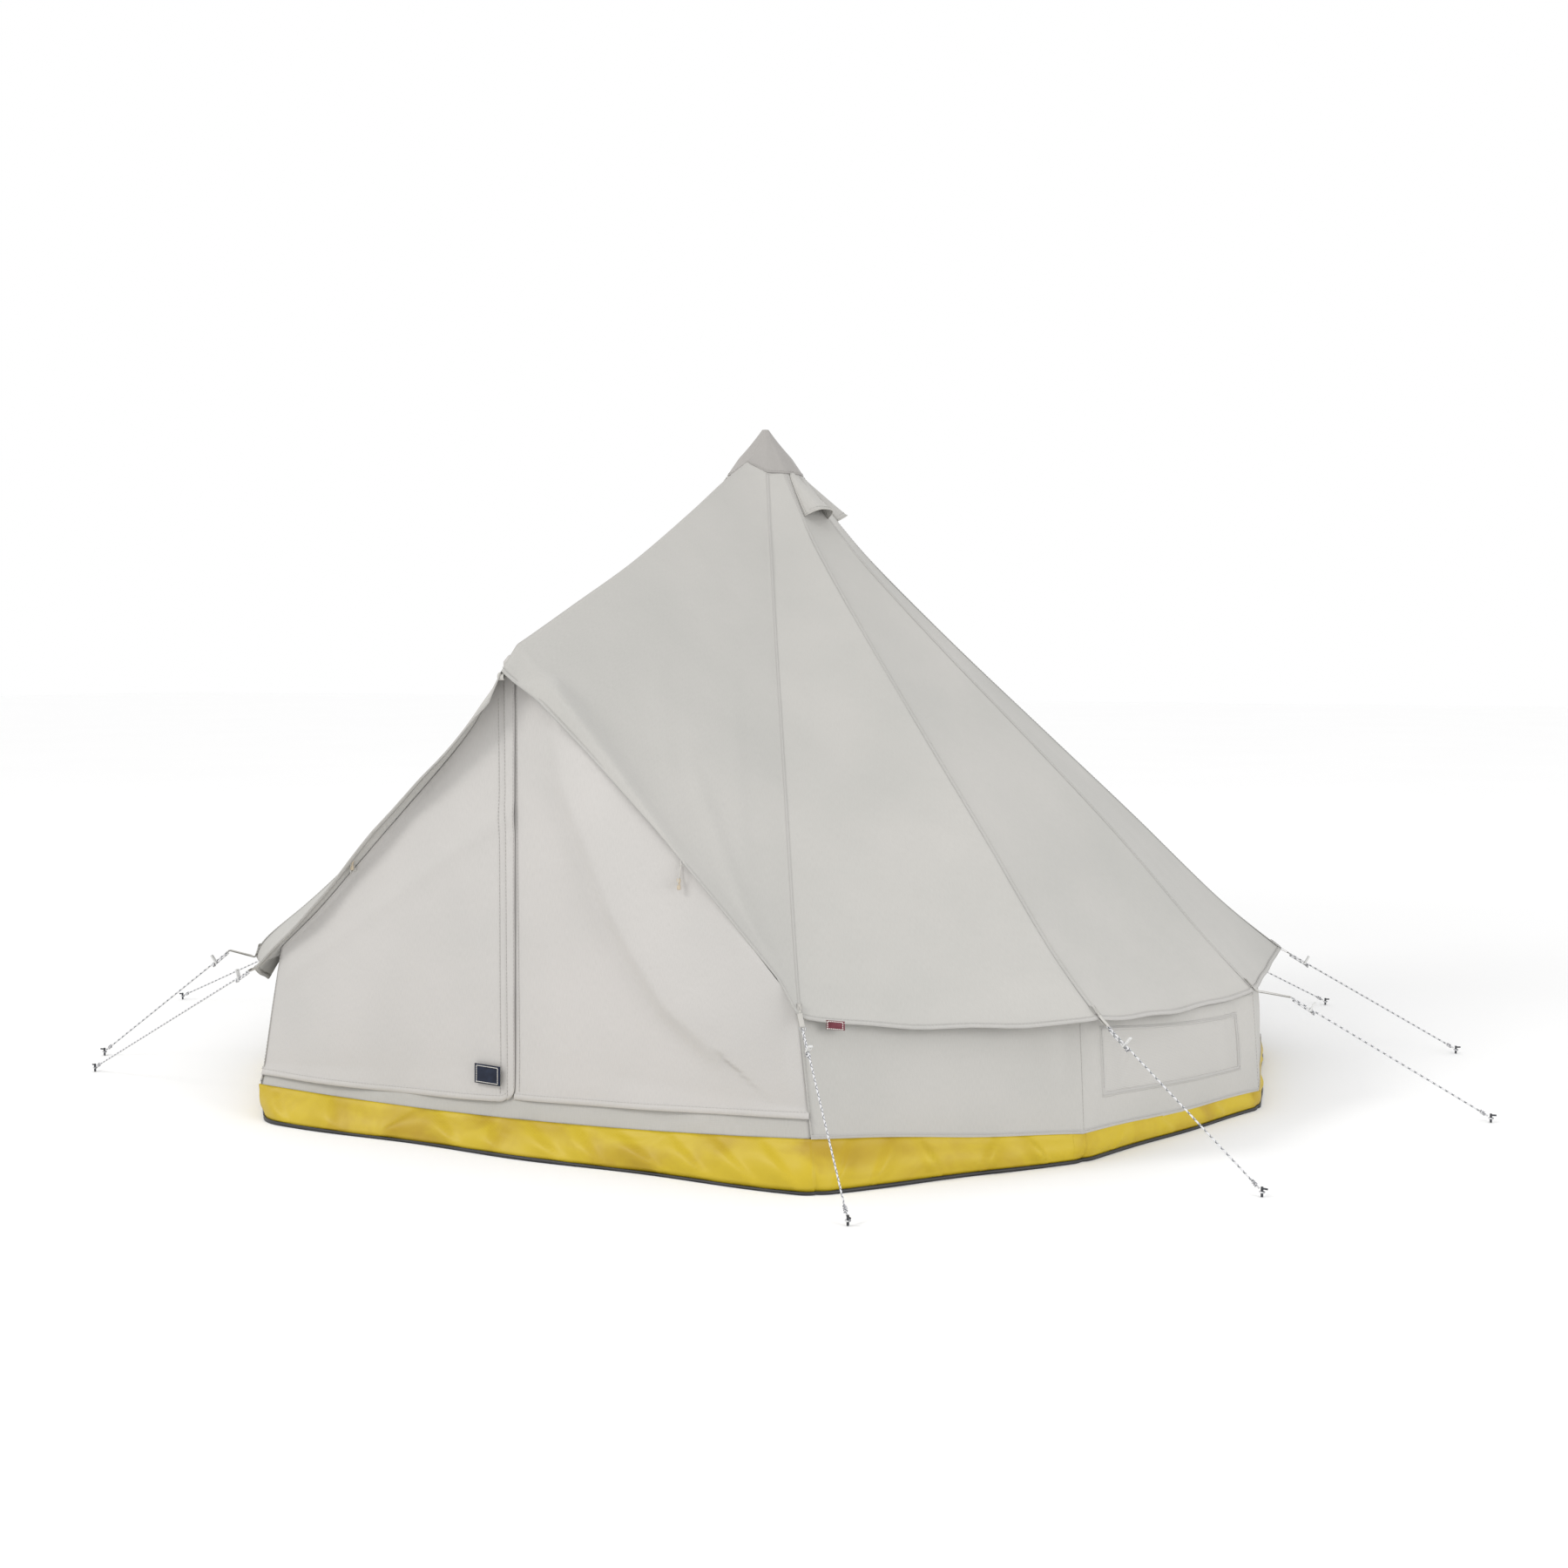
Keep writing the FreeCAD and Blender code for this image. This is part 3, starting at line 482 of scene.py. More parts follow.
class Gathered:
    """Collects the points and faces of many small parts for one piece."""

    def __init__(self):
        self.points = []
        self.faces = []
        self.uvs = []

    def add(self, points, faces, uvs=None):
        start = len(self.points)
        self.points += points
        self.faces += [tuple(start + index for index in face) for face in faces]
        self.uvs += uvs or [(point.x + point.y, point.z) for point in points]

    def piece(self, name, material, flat_faces=False):
        return new_piece(name, self.points, self.faces, material, self.uvs, flat_faces)


def frame_along(direction, level=UP):
    """Two unit vectors square to a direction, the second as near to level as it can be."""
    side = direction.cross(level)
    if side.length < 1e-4:
        side = direction.cross(Vector((1, 0, 0)))
    side.normalize()
    return side, side.cross(direction).normalized()


def tube(points, radius, sides=8, closed=False, caps=True):
    """Points, faces and UVs of a round tube along a line; radius may be a list."""
    count = len(points)
    radii = radius if isinstance(radius, list) else [radius] * count
    spots, uvs = [], []
    reach = 0.0
    across = None
    for index, point in enumerate(points):
        before = points[index - 1] if index or closed else point
        after = points[(index + 1) % count] if index < count - 1 or closed else point
        direction = (after - before).normalized()
        if across is None:
            across, upward = frame_along(direction)
        else:
            across = (across - direction * across.dot(direction)).normalized()
            upward = across.cross(direction)
        if index:
            reach += (point - points[index - 1]).length
        for side in range(sides + 1):
            turn = 2 * math.pi * side / sides
            spots.append(point + (across * math.cos(turn) + upward * math.sin(turn)) * radii[index])
            uvs.append((side / sides, reach))
    ring = sides + 1
    faces = []
    for index in range(count if closed else count - 1):
        after = (index + 1) % count
        for side in range(sides):
            faces.append((index * ring + side, after * ring + side,
                          after * ring + side + 1, index * ring + side + 1))
    if caps and not closed:
        faces.append(tuple(range(sides)))
        faces.append(tuple(reversed(range((count - 1) * ring, (count - 1) * ring + sides))))
    return spots, faces, uvs


def weld(piece):
    """Closes the seam where a tube's first and last columns meet."""
    join = piece.modifiers.new("join", "WELD")
    join.merge_threshold = 0.00002
    return finish_mesh(piece)


def socket_id(tree, name):
    return next(item.identifier for item in tree.interface.items_tree if item.name == name)


def repeat_tree(name, inputs):
    """A Geometry Nodes tree with named inputs, and its points a pitch apart along edge lines."""
    tree = bpy.data.node_groups.new(name, "GeometryNodeTree")
    tree.interface.new_socket("Geometry", in_out="INPUT", socket_type="NodeSocketGeometry")
    for title, kind in [("Pitch", "Float"), *inputs, ("Material", "Material")]:
        tree.interface.new_socket(title, in_out="INPUT", socket_type=f"NodeSocket{kind}")
    tree.interface.new_socket("Geometry", in_out="OUTPUT", socket_type="NodeSocketGeometry")
    given = add_node(tree, "NodeGroupInput").outputs
    line = add_node(tree, "GeometryNodeMeshToCurve", inputs={"Mesh": given["Geometry"]})
    spaced = add_node(tree, "GeometryNodeResampleCurve", {"mode": "LENGTH"},
                      {"Curve": line.outputs[0], "Length": given["Pitch"]})
    return tree, given, spaced.outputs[0]


def end_tree(tree, copies, material):
    """Makes a tree's copies real, gives them their material and hands them out."""
    real = add_node(tree, "GeometryNodeRealizeInstances", inputs={"Geometry": copies.outputs[0]})
    dressed = add_node(tree, "GeometryNodeSetMaterial", inputs={
        "Geometry": real.outputs[0], "Material": material})
    add_node(tree, "NodeGroupOutput", inputs={"Geometry": dressed.outputs[0]})
    return tree


def stitch_tree():
    """Stitches along every edge line of a mesh: a short round thread at each step."""
    tree, given, spaced = repeat_tree("sewn_stitches", [
        ("Stitch Length", "Float"), ("Thread Radius", "Float")])
    bar = add_node(tree, "GeometryNodeMeshCylinder", inputs={
        "Vertices": 5, "Radius": given["Thread Radius"], "Depth": given["Stitch Length"]})
    tangent = add_node(tree, "GeometryNodeInputTangent")
    turn = add_node(tree, "FunctionNodeAlignRotationToVector", {"axis": "Z"},
                    {"Vector": tangent.outputs[0]})
    copies = add_node(tree, "GeometryNodeInstanceOnPoints", inputs={
        "Points": spaced, "Instance": bar.outputs["Mesh"], "Rotation": turn.outputs[0]})
    return end_tree(tree, copies, given["Material"])


def teeth_tree():
    """Zip teeth along a line: a small block at each step."""
    tree, given, spaced = repeat_tree("zip_teeth", [("Tooth Size", "Vector")])
    block = add_node(tree, "GeometryNodeMeshCube", inputs={"Size": given["Tooth Size"]})
    copies = add_node(tree, "GeometryNodeInstanceOnPoints", inputs={
        "Points": spaced, "Instance": block.outputs["Mesh"]})
    return end_tree(tree, copies, given["Material"])


STITCHES = stitch_tree()
TEETH = teeth_tree()


def repeat_along(name, lines, tree, values):
    """A plain mesh of what a tree repeats along the given lines of points."""
    points, edges = [], []
    for line in lines:
        edges += [(len(points) + index, len(points) + index + 1) for index in range(len(line) - 1)]
        points += line
    mesh = bpy.data.meshes.new(name)
    mesh.from_pydata(points, edges, [])
    piece = bpy.data.objects.new(name, mesh)
    bpy.context.scene.collection.objects.link(piece)
    repeat = piece.modifiers.new("repeat", "NODES")
    repeat.node_group = tree
    for title, content in values.items():
        repeat[socket_id(tree, title)] = content
    return finish_mesh(piece)


def stitches(name, lines, pitch=0.012, length=0.008, radius=0.0009, material=None):
    """Rows of stitches along lines that lie on the cloth."""
    # Real stitches are 3 mm apart; they are drawn four times as coarse so that they can show.
    return repeat_along(name, lines, STITCHES, {
        "Pitch": pitch, "Stitch Length": length, "Thread Radius": radius,
        "Material": material or thread})


def place_piece(piece, body, slot, *nodes):
    """Lets a piece ride on a body and hides the CAD nodes that it stands for; slot is not used."""
    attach(piece, body)
    if nodes:
        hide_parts(*nodes)
    return piece


# ------------------------------------------------------------ guy ropes

def rope_line(corner):
    """Tip, direction, start and end of a taut rope, from its webbing tab to its peg."""
    tip = eave_tip(corner)
    angle, reach = PEG_PLACES[corner]
    peg = polar(angle, reach, 0.016)
    run = (peg - tip).normalized()
    return tip, run, tip + run * 0.0383, peg - run * 0.012


def rope_path(name, points):
    """The points along a NURBS line through a rope's route."""
    data = bpy.data.curves.new(name, "CURVE")
    data.dimensions = "3D"
    spline = data.splines.new("NURBS")
    spline.points.add(len(points) - 1)
    for control, point in zip(spline.points, points):
        control.co = (*point, 1.0)
    spline.order_u = 3
    spline.use_endpoint_u = True
    spline.resolution_u = 12
    carrier = bpy.data.objects.new(name, data)
    mesh = bpy.data.meshes.new_from_object(carrier)
    line = [vertex.co.copy() for vertex in mesh.vertices]
    bpy.data.objects.remove(carrier)
    bpy.data.curves.remove(data)
    bpy.data.meshes.remove(mesh)
    return line


def coil_round(start, direction, radius, turns, pitch, samples=12):
    """Points of a few turns of rope round a line."""
    across, upward = frame_along(direction)
    count = int(turns * samples)
    return [start + direction * (pitch * index / samples)
            + (across * math.cos(2 * math.pi * index / samples)
               + upward * math.sin(2 * math.pi * index / samples)) * radius
            for index in range(count + 1)]


def make_ropes():
    """The eleven guy ropes, each with the knot that ties it to its peg."""
    for corner in CORNERS:
        number = f"{corner + 1:02d}"
        _, run, start, end = rope_line(corner)
        path = rope_path(f"route_{number}", [start, start.lerp(end, 0.5), end])
        spots, faces, uvs = tube(path, ROPE_RADIUS)
        rope = weld(new_piece(f"rope_{number}", spots, faces, braid, uvs))
        place_piece(rope, "tent", "guy_rope", f"guy_rope_{number}")
        # The loop round the peg under its hook, and the bight that ties it off.
        tied = Gathered()
        peg = polar(*PEG_PLACES[corner], 0.0)
        loop = [peg + Vector((math.sin(turn), math.cos(turn), 0)) * 0.0072 + UP * 0.0145
                for turn in circle(18)]
        tied.add(*tube(loop, 0.0026, 8, closed=True))
        tied.add(*tube(coil_round(end - run * 0.030, run, 0.0046, 3.0, 0.0062), 0.0026, 7))
        knot = weld(tied.piece(f"rope_knot_{number}", braid))
        place_piece(knot, "tent", "guy_rope")
        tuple(start)


make_ropes()

# ------------------------------------------------------------ canopy

# The slope of the round roof from under the peak cap down to an eave tip: radius, height.
SLOPE = [(0.100, 2.372), (0.142, 2.310), (0.300, 2.105), (0.452, 1.934), (0.765, 1.625),
         (1.115, 1.296), (1.468, 0.965), (1.823, 0.623), (2.075, 0.422)]
# The ridge over the door, from under the cap over the A-frame to the hood's tip.
RIDGE = smooth_line([Vector((aside, -reach, height)) for aside, reach, height in (
    (0, 0.100, 2.376), (0, 0.150, 2.348), (0, 0.346, 2.256), (0, 0.612, 2.118), (0, 1.007, 1.927),
    (0, 1.380, 1.773), (0, 1.600, 1.683), (0, 1.690, 1.647), (0, 1.717, 1.636),
    (0.001, 1.738, 1.620), (0.008, 1.785, 1.585), (0.018, 1.832, 1.552))])
# How far the slack front edge left of the hood's tip hangs, from the tip out to the eave.
LEFT_SAG = [0.000, 0.055, 0.048, 0.046, 0.046, 0.042, 0.036, 0.030, 0.024, 0.021, 0.019, 0.020,
            0.021, 0.024, 0.028, 0.029, 0.026, 0.018, 0.008, 0.002, 0.000]
CANOPY_PANELS = 12              # front right, ten sectors, front left
PANEL_LENGTH = 2.72             # crown to eave along the cloth
ROWS = [1 - (1 - share) ** 1.25 for share in steps(0, 1, 140)]
# Two tips are slack: how far each stays inside and under the line to its webbing tab, and
# how near the tip the slack begins.
SLACK_TIPS = {2: (0.098, 0.002, 5), 9: (0.082, 0.034, 28)}
# How far the eave sinks between its tips, in the two slackest panels and in the others.
EAVE_SINK = {1: 0.036, 10: 0.055}
TAUT_EAVE_SINK = 0.028


def seam_line(corner):
    """The line of one roof seam, bent down or up at its foot to reach its own eave tip."""
    lift = eave_height(corner) - SLOPE[-1][1]
    inside, under, power = SLACK_TIPS.get(corner, (0.0, 0.0, 1))
    last = len(SLOPE) - 1
    line = smooth_line([
        polar(SEAM_ANGLES[corner], radius, height + lift * (index / last) ** 2)
        for index, (radius, height) in enumerate(SLOPE)])
    slack = polar(SEAM_ANGLES[corner], -inside, -under)
    return lambda share: line(share) + slack * share ** power


SEAM_LINES = [seam_line(corner) for corner in CORNERS]


def listed(values, share):
    """A value read from an evenly spaced list."""
    place = min(max(share, 0.0), 1.0) * (len(values) - 1)
    index = min(int(place), len(values) - 2)
    return values[index] + (values[index + 1] - values[index]) * (place - index)


def straight_panel(panel, across, share):
    """A panel pulled flat between its two seams."""
    first = RIDGE if panel == 0 else SEAM_LINES[panel - 1]
    second = RIDGE if panel == CANOPY_PANELS - 1 else SEAM_LINES[panel]
    return first(share).lerp(second(share), across)


def right_hood(across, share, point):
    """The front right panel: its hem hangs by the door with an upright strip over it.

    The door pole lifts the cloth, so that a crease runs over the strip and dies out in the panel.
    """
    hem = straight_panel(0, across, 1.0)
    hem.z += 0.030 * math.sin(math.pi * across)
    hem.y += 0.042 * smooth(0.0, 0.12, across) * smooth(0.0, 0.10, 1 - across)
    strip = 0.098 * smooth(0.03, 0.17, across) * max(0.0, 1 - max(0.0, across - 0.14) / 0.48)
    reach = (1 - share) * PANEL_LENGTH
    if reach < strip:
        return hem + Vector((0.0, 0.10 * reach, reach * 0.97))
    crease = hem + Vector((0.0, 0.10 * strip, strip * 0.97))
    pull = crease - straight_panel(0, across, 1 - strip / PANEL_LENGTH)
    return point + pull * (1 - smooth(0.0, 0.26, reach - strip)) ** 1.3


def fold(across, share, start, end, width, depth):
    """How deep a soft fold along a line on a panel is at a spot; one side is steeper."""
    line_x, line_y = end[0] - start[0], (end[1] - start[1]) * 2.6
    spot_x, spot_y = across - start[0], (share - start[1]) * 2.6
    length = math.hypot(line_x, line_y)
    along = (spot_x * line_x + spot_y * line_y) / length ** 2
    if not 0 < along < 1:
        return 0.0
    away = (spot_x * line_y - spot_y * line_x) / length
    wide = width if away > 0 else width * 0.45
    return depth * math.exp(-(away / wide) ** 2) * math.sin(math.pi * along) ** 0.8


# Folds on the panels: panel, start, end (each across and share), width, depth.
PANEL_FOLDS = [
    (0, (0.97, 0.985), (0.52, 0.74), 0.070, 0.013), (0, (0.93, 0.990), (0.62, 0.80), 0.045, 0.009),
    (0, (0.60, 0.930), (0.30, 0.60), 0.070, 0.009), (0, (0.86, 0.97), (0.70, 0.50), 0.060, 0.006),
    (1, (0.96, 0.975), (0.22, 0.66), 0.070, 0.012), (1, (0.90, 0.985), (0.34, 0.80), 0.050, 0.010),
    (1, (0.06, 0.980), (0.36, 0.78), 0.045, 0.007), (1, (0.75, 0.93), (0.55, 0.60), 0.080, 0.006),
    (2, (0.95, 0.975), (0.40, 0.74), 0.060, 0.009), (2, (0.05, 0.980), (0.42, 0.84), 0.040, 0.007),
    (3, (0.06, 0.980), (0.50, 0.72), 0.060, 0.009), (4, (0.94, 0.970), (0.45, 0.70), 0.060, 0.010),
    (5, (0.05, 0.975), (0.55, 0.76), 0.060, 0.009), (6, (0.95, 0.980), (0.38, 0.70), 0.065, 0.010),
    (7, (0.06, 0.975), (0.52, 0.74), 0.055, 0.009), (8, (0.94, 0.975), (0.42, 0.72), 0.060, 0.010),
    (9, (0.06, 0.980), (0.50, 0.74), 0.060, 0.009), (10, (0.92, 0.970), (0.40, 0.70), 0.065, 0.011),
    (11, (0.10, 0.975), (0.48, 0.70), 0.070, 0.010),
]


def canopy(column, share):
    """The roof's outside. column runs from the ridge anticlockwise, one unit to a panel."""
    panel = min(max(int(column), 0), CANOPY_PANELS - 1)
    across = column - panel
    point = straight_panel(panel, across, share)
    belly = 4 * across * (1 - across)
    low = smooth(0.62, 1.0, share)
    outward = level_out(point)
    if panel == 0:
        point = right_hood(across, share, point)
    elif panel == CANOPY_PANELS - 1:
        # The edge hangs slack over the door; behind it the panel sinks into a shallow valley.
        edge_sag = listed(LEFT_SAG, 1 - across)
        point.z -= edge_sag * (smooth(0.978, 1.0, share) + 0.5 * smooth(0.5, 0.978, share)
                               * (1 - smooth(0.978, 1.0, share)))
        valley = smooth(0.50, 0.955, share) * (1 - smooth(0.955, 1.0, share))
        point.z -= 0.062 * smooth(0.02, 0.16, 1 - across) * belly ** 0.3 * valley
        point.y -= 0.005 * math.sin(across * 26 + 2) * smooth(0.96, 1.0, share) * belly
    else:
        point -= outward * (0.012 * belly * math.sin(math.pi * share))
        by_eave = smooth(0.90, 1.0, share)
        point.z -= EAVE_SINK.get(panel, TAUT_EAVE_SINK) * belly ** 0.7 * by_eave
        point -= outward * ((0.045 if panel == 10 else 0.012) * belly * by_eave)
        point.z += 0.004 * math.sin(column * 17.0) * belly * smooth(0.95, 1.0, share)
    for place, fold_start, fold_end, width, depth in PANEL_FOLDS:
        if place == panel:
            point += outward * fold(across, share, fold_start, fold_end, width, depth)
    # The left side is slack: its seam hangs under the straight line to the eave tip.
    left_slack = (math.exp(-((column - 10.0) / 0.75) ** 2)
                  * (1 - (2 * abs(share - 0.82) / 0.42) ** 2))
    point.z -= 0.050 * max(0.0, left_slack)
    wide = ripple(point.x * 1.7, point.y * 1.7, point.z * 1.7 + 9)
    fine = ripple(point.x * 6.0, point.y * 6.0, point.z * 6.0 + 4)
    loose = smooth(0.0, 0.25, belly + 0.02 * low)
    return point + outward * ((0.007 * wide + 0.0016 * fine) * loose)


def canopy_columns():
    """Column places, closer together on the two front panels and by every seam."""
    places = []
    for panel in range(CANOPY_PANELS):
        count = 50 if panel in (0, CANOPY_PANELS - 1) else 20
        places += [panel + (0.5 - 0.5 * math.cos(math.pi * t)) * 0.5 + t * 0.5
                   for t in steps(0, 1, count)[:-1]]
    return places


def make_canopy():
    """The roof as one sheet, with its hem and seams."""
    places = canopy_columns()
    sheet = surface("canopy", canopy, places, ROWS, canvas, closed=True, flip=True,
                    size=(1.07, 2.68))
    thicken(sheet, CANVAS_THICKNESS)
    place_piece(sheet, "tent", "canvas",
                "roof_right", "roof_left", "roof_front_right", "roof_front_left")
    # Each panel is cut as a triangle, 2.75 m tall with its hems.
    hem = eave_hem(places)
    seams = canopy_seams()


def eave_hem(places):
    """The turned-up hem along the whole lower edge, and the front edge of the hood."""
    width = 0.016
    rings = []
    for place in places:
        low = canopy(place, 1.0)
        panel_edge = abs(place - round(place)) < 1e-6
        inside = normal_of(canopy, place + (0.0005 if panel_edge else 0.0), 0.996, 0.003)
        if inside.z < 0:
            inside = -inside
        along = (canopy(place, 0.97) - low).normalized()
        rings.append([low + along * up + inside * deep for up, deep in (
            (width, 0.0004), (width, 0.0022), (-0.0008, 0.0022),
            (-0.0008, -0.0022), (width, -0.0026), (width, -0.0010))])
    points = [point for ring in rings for point in ring]
    faces = turned(grid_faces(len(rings), 6, closed=True))
    piece = new_piece("eave_hem", points, faces, seam_tape_painted_shade,
                      grid_uvs(len(points), 6, 0.03, 0.01))
    rows = stitches("eave_hem_stitches", [[ring[1].lerp(ring[2], 0.14) for ring in rings]])
    place_piece(piece, "tent", "canvas")
    place_piece(rows, "tent", "canvas")
    return piece


def canopy_seams():
    """Felled seams: a raised double fold over each roof seam, sewn along both sides."""
    tape = Gathered()
    rows = []
    for corner in CORNERS:
        column = corner + 1
        line, sides, normals = [], [], []
        for share in steps(0.034, 0.992, 90):
            here = canopy(column, share)
            to_left = (canopy(column - 0.02, share) - here).normalized()
            to_right = (canopy(column + 0.02, share) - here).normalized()
            side = (to_right - to_left).normalized()
            along = canopy(column, share + 0.004) - canopy(column, share - 0.004)
            normal = side.cross(along).normalized()
            if normal.z < 0:
                normal = -normal
            line.append(here)
            sides.append(side)
            normals.append(normal)
        spots, faces = ribbon(line, sides, normals, 0.0075, 0.0011, -0.0008)
        tape.add(spots, faces, [(v, u) for u, v in grid_uvs(len(spots), 5, 0.03, 0.005)])
        for across in (-0.0048, 0.0048):
            rows.append([point + side * across + normal * 0.0014
                         for point, side, normal in zip(line, sides, normals)])
    piece = place_piece(tape.piece("roof_seams", seam_tape_painted_shade), "tent", "canvas")
    sewn = place_piece(stitches("roof_seam_stitches", rows), "tent", "canvas")
    return [piece, sewn]


make_canopy()


def junction_line(panel):
    """Where the roof meets the door canvas: heights by distance from the middle."""
    found = []
    for across in steps(0.0, 1.0, 60):
        column = panel + (1 - across if panel else across)
        low, high = 0.55, 1.0
        if canopy(column, high).y > DOOR_Y:
            continue
        for _ in range(24):
            middle = (low + high) / 2
            if canopy(column, middle).y > DOOR_Y:
                low = middle
            else:
                high = middle
        spot = canopy(column, high)
        found.append((abs(spot.x), spot.z))
    found.sort()
    return found


JUNCTIONS = {1: junction_line(0), -1: junction_line(CANOPY_PANELS - 1)}


def junction(side, reach):
    """Height of the door canvas's top edge at a distance from the middle."""
    line = JUNCTIONS[side]
    index = bisect_right([spot[0] for spot in line], reach)
    if index == 0:
        return line[0][1]
    if index == len(line):
        return line[-1][1]
    (x_low, z_low), (x_high, z_high) = line[index - 1], line[index]
    return z_low + (z_high - z_low) * (reach - x_low) / max(x_high - x_low, 1e-6)


# ------------------------------------------------------------ peak cap and vents

CROWN_SHARE = 0.66              # how far down the cap the roof's upper edge lies
CAP_TIP_RADIUS = 0.0085


def cap_surface(column, share):
    """The steep cone over the peak, a little hollow, its foot over the roof's crown."""
    crown, foot = canopy(column, 0.0), canopy(column, 0.030)
    turn = math.atan2(foot.x, -foot.y)
    top = Vector((CAP_TIP_RADIUS * math.sin(turn), -CAP_TIP_RADIUS * math.cos(turn), 2.4835))
    # Straight down to the roof's upper edge, then on over the roof.
    if share < CROWN_SHARE:
        point = top.lerp(crown, share / CROWN_SHARE)
    else:
        point = crown.lerp(foot, (share - CROWN_SHARE) / (1 - CROWN_SHARE))
    outward = level_out(point)
    hollow = 0.003 * math.sin(math.pi * min(share / CROWN_SHARE, 1.0))
    gore = 0.0012 * math.sin(column * 2 * math.pi) * share
    return point + outward * (0.0042 - hollow + gore)


def make_peak_cap():
    """The cone over the peak, its rounded tip and its row of stitches."""
    places = [panel + index / 10 for panel in range(CANOPY_PANELS) for index in range(10)]
    rows = [0.0] + steps(0.02, 1.0, 22)
    cone = surface("peak_cap_cloth", cap_surface, places, rows, peak_canvas, closed=True, flip=True,
                   size=(0.08, 0.23))
    top = Gathered()
    # The rounded tip where the pole's spigot comes through, closed by a stitched disc.
    for ring, lift in ((0.0121, 0.0), (0.0105, 0.003), (0.0065, 0.0048), (0.0001, 0.0054)):
        top.points += [Vector((ring * math.sin(turn), -ring * math.cos(turn), 2.478 + lift))
                       for turn in circle(24)]
    top.faces = ring_faces(4, 24)
    top.uvs = [(point.x, point.y) for point in top.points]
    disc = top.piece("peak_tip", peak_canvas)
    thicken(cone, 0.0015)
    line = [cap_surface(place, 0.96) for place in steps(0.0, 11.999, 160)]
    rows = stitches("peak_cap_stitches", [
        [point + (UP + level_out(point)) * 0.001 for point in line]])
    place_piece(cone, "tent", "canvas", "peak_cap")
    place_piece(disc, "tent", "canvas")
    place_piece(rows, "tent", "canvas")


def vent_surface(sector, across, share):
    """A vent hood: it grows from a point under the cap to an arched open mouth."""
    middle = sector + 1.5
    place = 0.030 + 0.080 * share
    here = canopy(middle, place)
    side = (canopy(middle + 0.1, place) - canopy(middle - 0.1, place)).normalized()
    along = (canopy(middle, place + 0.01) - canopy(middle, place - 0.01)).normalized()
    normal = side.cross(along)
    normal = -normal if normal.z < 0 else normal
    half = 0.012 + 0.053 * share ** 0.8
    rise = 0.006 + (0.060 if sector in (1, 3) else 0.038) * share ** 1.1
    arch = max(0.0, 1 - abs(across) ** 3.2) ** 0.75
    flare = 0.012 * share * arch
    return here + side * (across * half) + normal * (rise * arch + 0.001) + along * flare


def make_vents():
    """The four vent hoods with their bound edges and stitches."""
    hood_parts, rims, lines = Gathered(), Gathered(), []
    acrosses = steps(-1, 1, 24)
    for sector in WINDOW_SECTORS:
        spots = [vent_surface(sector, across, share)
                 for across in acrosses for share in steps(0, 1, 16)]
        hood_parts.add(spots, turned(grid_faces(25, 17)), grid_uvs(len(spots), 17, 0.006, 0.012))
        rims.add(*tube([vent_surface(sector, across, 1.0) for across in acrosses], 0.0024, 7))
        for across in (-0.97, 0.97):
            edge = [vent_surface(sector, across, share) for share in steps(0, 1, 10)]
            rims.add(*tube(edge, 0.0020, 6))
        lines.append([vent_surface(sector, across, 0.93) + UP * 0.0012
                      for across in acrosses[2:-2]])
    hoods = thicken(hood_parts.piece("vent_hood_cloth", canvas), 0.0014)
    place_piece(hoods, "tent", "canvas", "vent_hoods")
    place_piece(weld(rims.piece("vent_hood_binding", webbing)), "tent", "canvas")
    place_piece(stitches("vent_hood_stitches", lines), "tent", "canvas")


make_peak_cap()
make_vents()

# ------------------------------------------------------------ wall, windows and skirt


def wall_line(corner, height):
    """A point of the wall's corner line, which leans in a little towards its top."""
    radius, lean = (1.938, 0.090) if corner == 9 else (2.0, 0.0738)
    return polar(CORNER_ANGLES[corner], radius - lean * height, height)


def skirt_top_at_door(x):
    """Height of the skirt's top edge under the door."""
    return 0.101 + 0.018 * x + 0.027 * x * x


def wall_foot(corner):
    """Where the wall's corner line meets the skirt."""
    if corner == 0:
        return Vector((1.074, -1.762, skirt_top_at_door(1.06)))
    if corner == 10:
        return Vector((-1.054, -1.762, skirt_top_at_door(-1.06)))
    return wall_line(corner, 0.085 if corner in SECOND_CORNERS else 0.060)


# The wall's head is lower under the two slack tips.
WALL_HEADS = {2: 0.415, 9: 0.443}


def wall_head(corner):
    """Where the wall's corner line ends, under the roof."""
    if corner in DOOR_CORNERS:
        return Vector((1.028, -1.757, 0.532) if corner == 0 else (-0.962, -1.757, 0.575))
    return wall_line(corner, WALL_HEADS.get(corner, 0.500))


def wall(column, share):
    """The round wall's outside from corner 0 by the door round to corner 10."""
    sector = min(max(int(column), 0), 9)
    across = column - sector
    low = wall_foot(sector).lerp(wall_foot(sector + 1), across)
    high = wall_head(sector).lerp(wall_head(sector + 1), across)
    point = low.lerp(high, share)
    outward = level_out(point)
    belly = 4 * across * (1 - across)
    point += outward * (0.010 * math.sin(math.pi * share) * belly)
    # Slack gathers in upright folds by the corners and fades towards the skirt.
    near = math.exp(-((min(across, 1 - across) - 0.13) / 0.09) ** 2)
    pleat = math.sin(column * 46.0 + 2.0 * math.sin(column * 5.0)) * near
    point += outward * (0.0085 * pleat * share ** 0.7 * belly ** 0.5 * smooth(0.0, 0.12, share))
    point += outward * (0.006 * ripple(column * 2.6, share * 1.5, 1.7) * belly ** 0.5)
    # The head follows the roof, which hangs a little between its corners.
    point.z -= (0.030 if sector == 9 else 0.036) * belly * share ** 3
    point.z += 0.004 * math.sin(column * 7.0) * (1 - share) * belly
    return point


WINDOW_ACROSS = (0.12, 0.88)
WINDOW_UP = (0.29, 0.80)


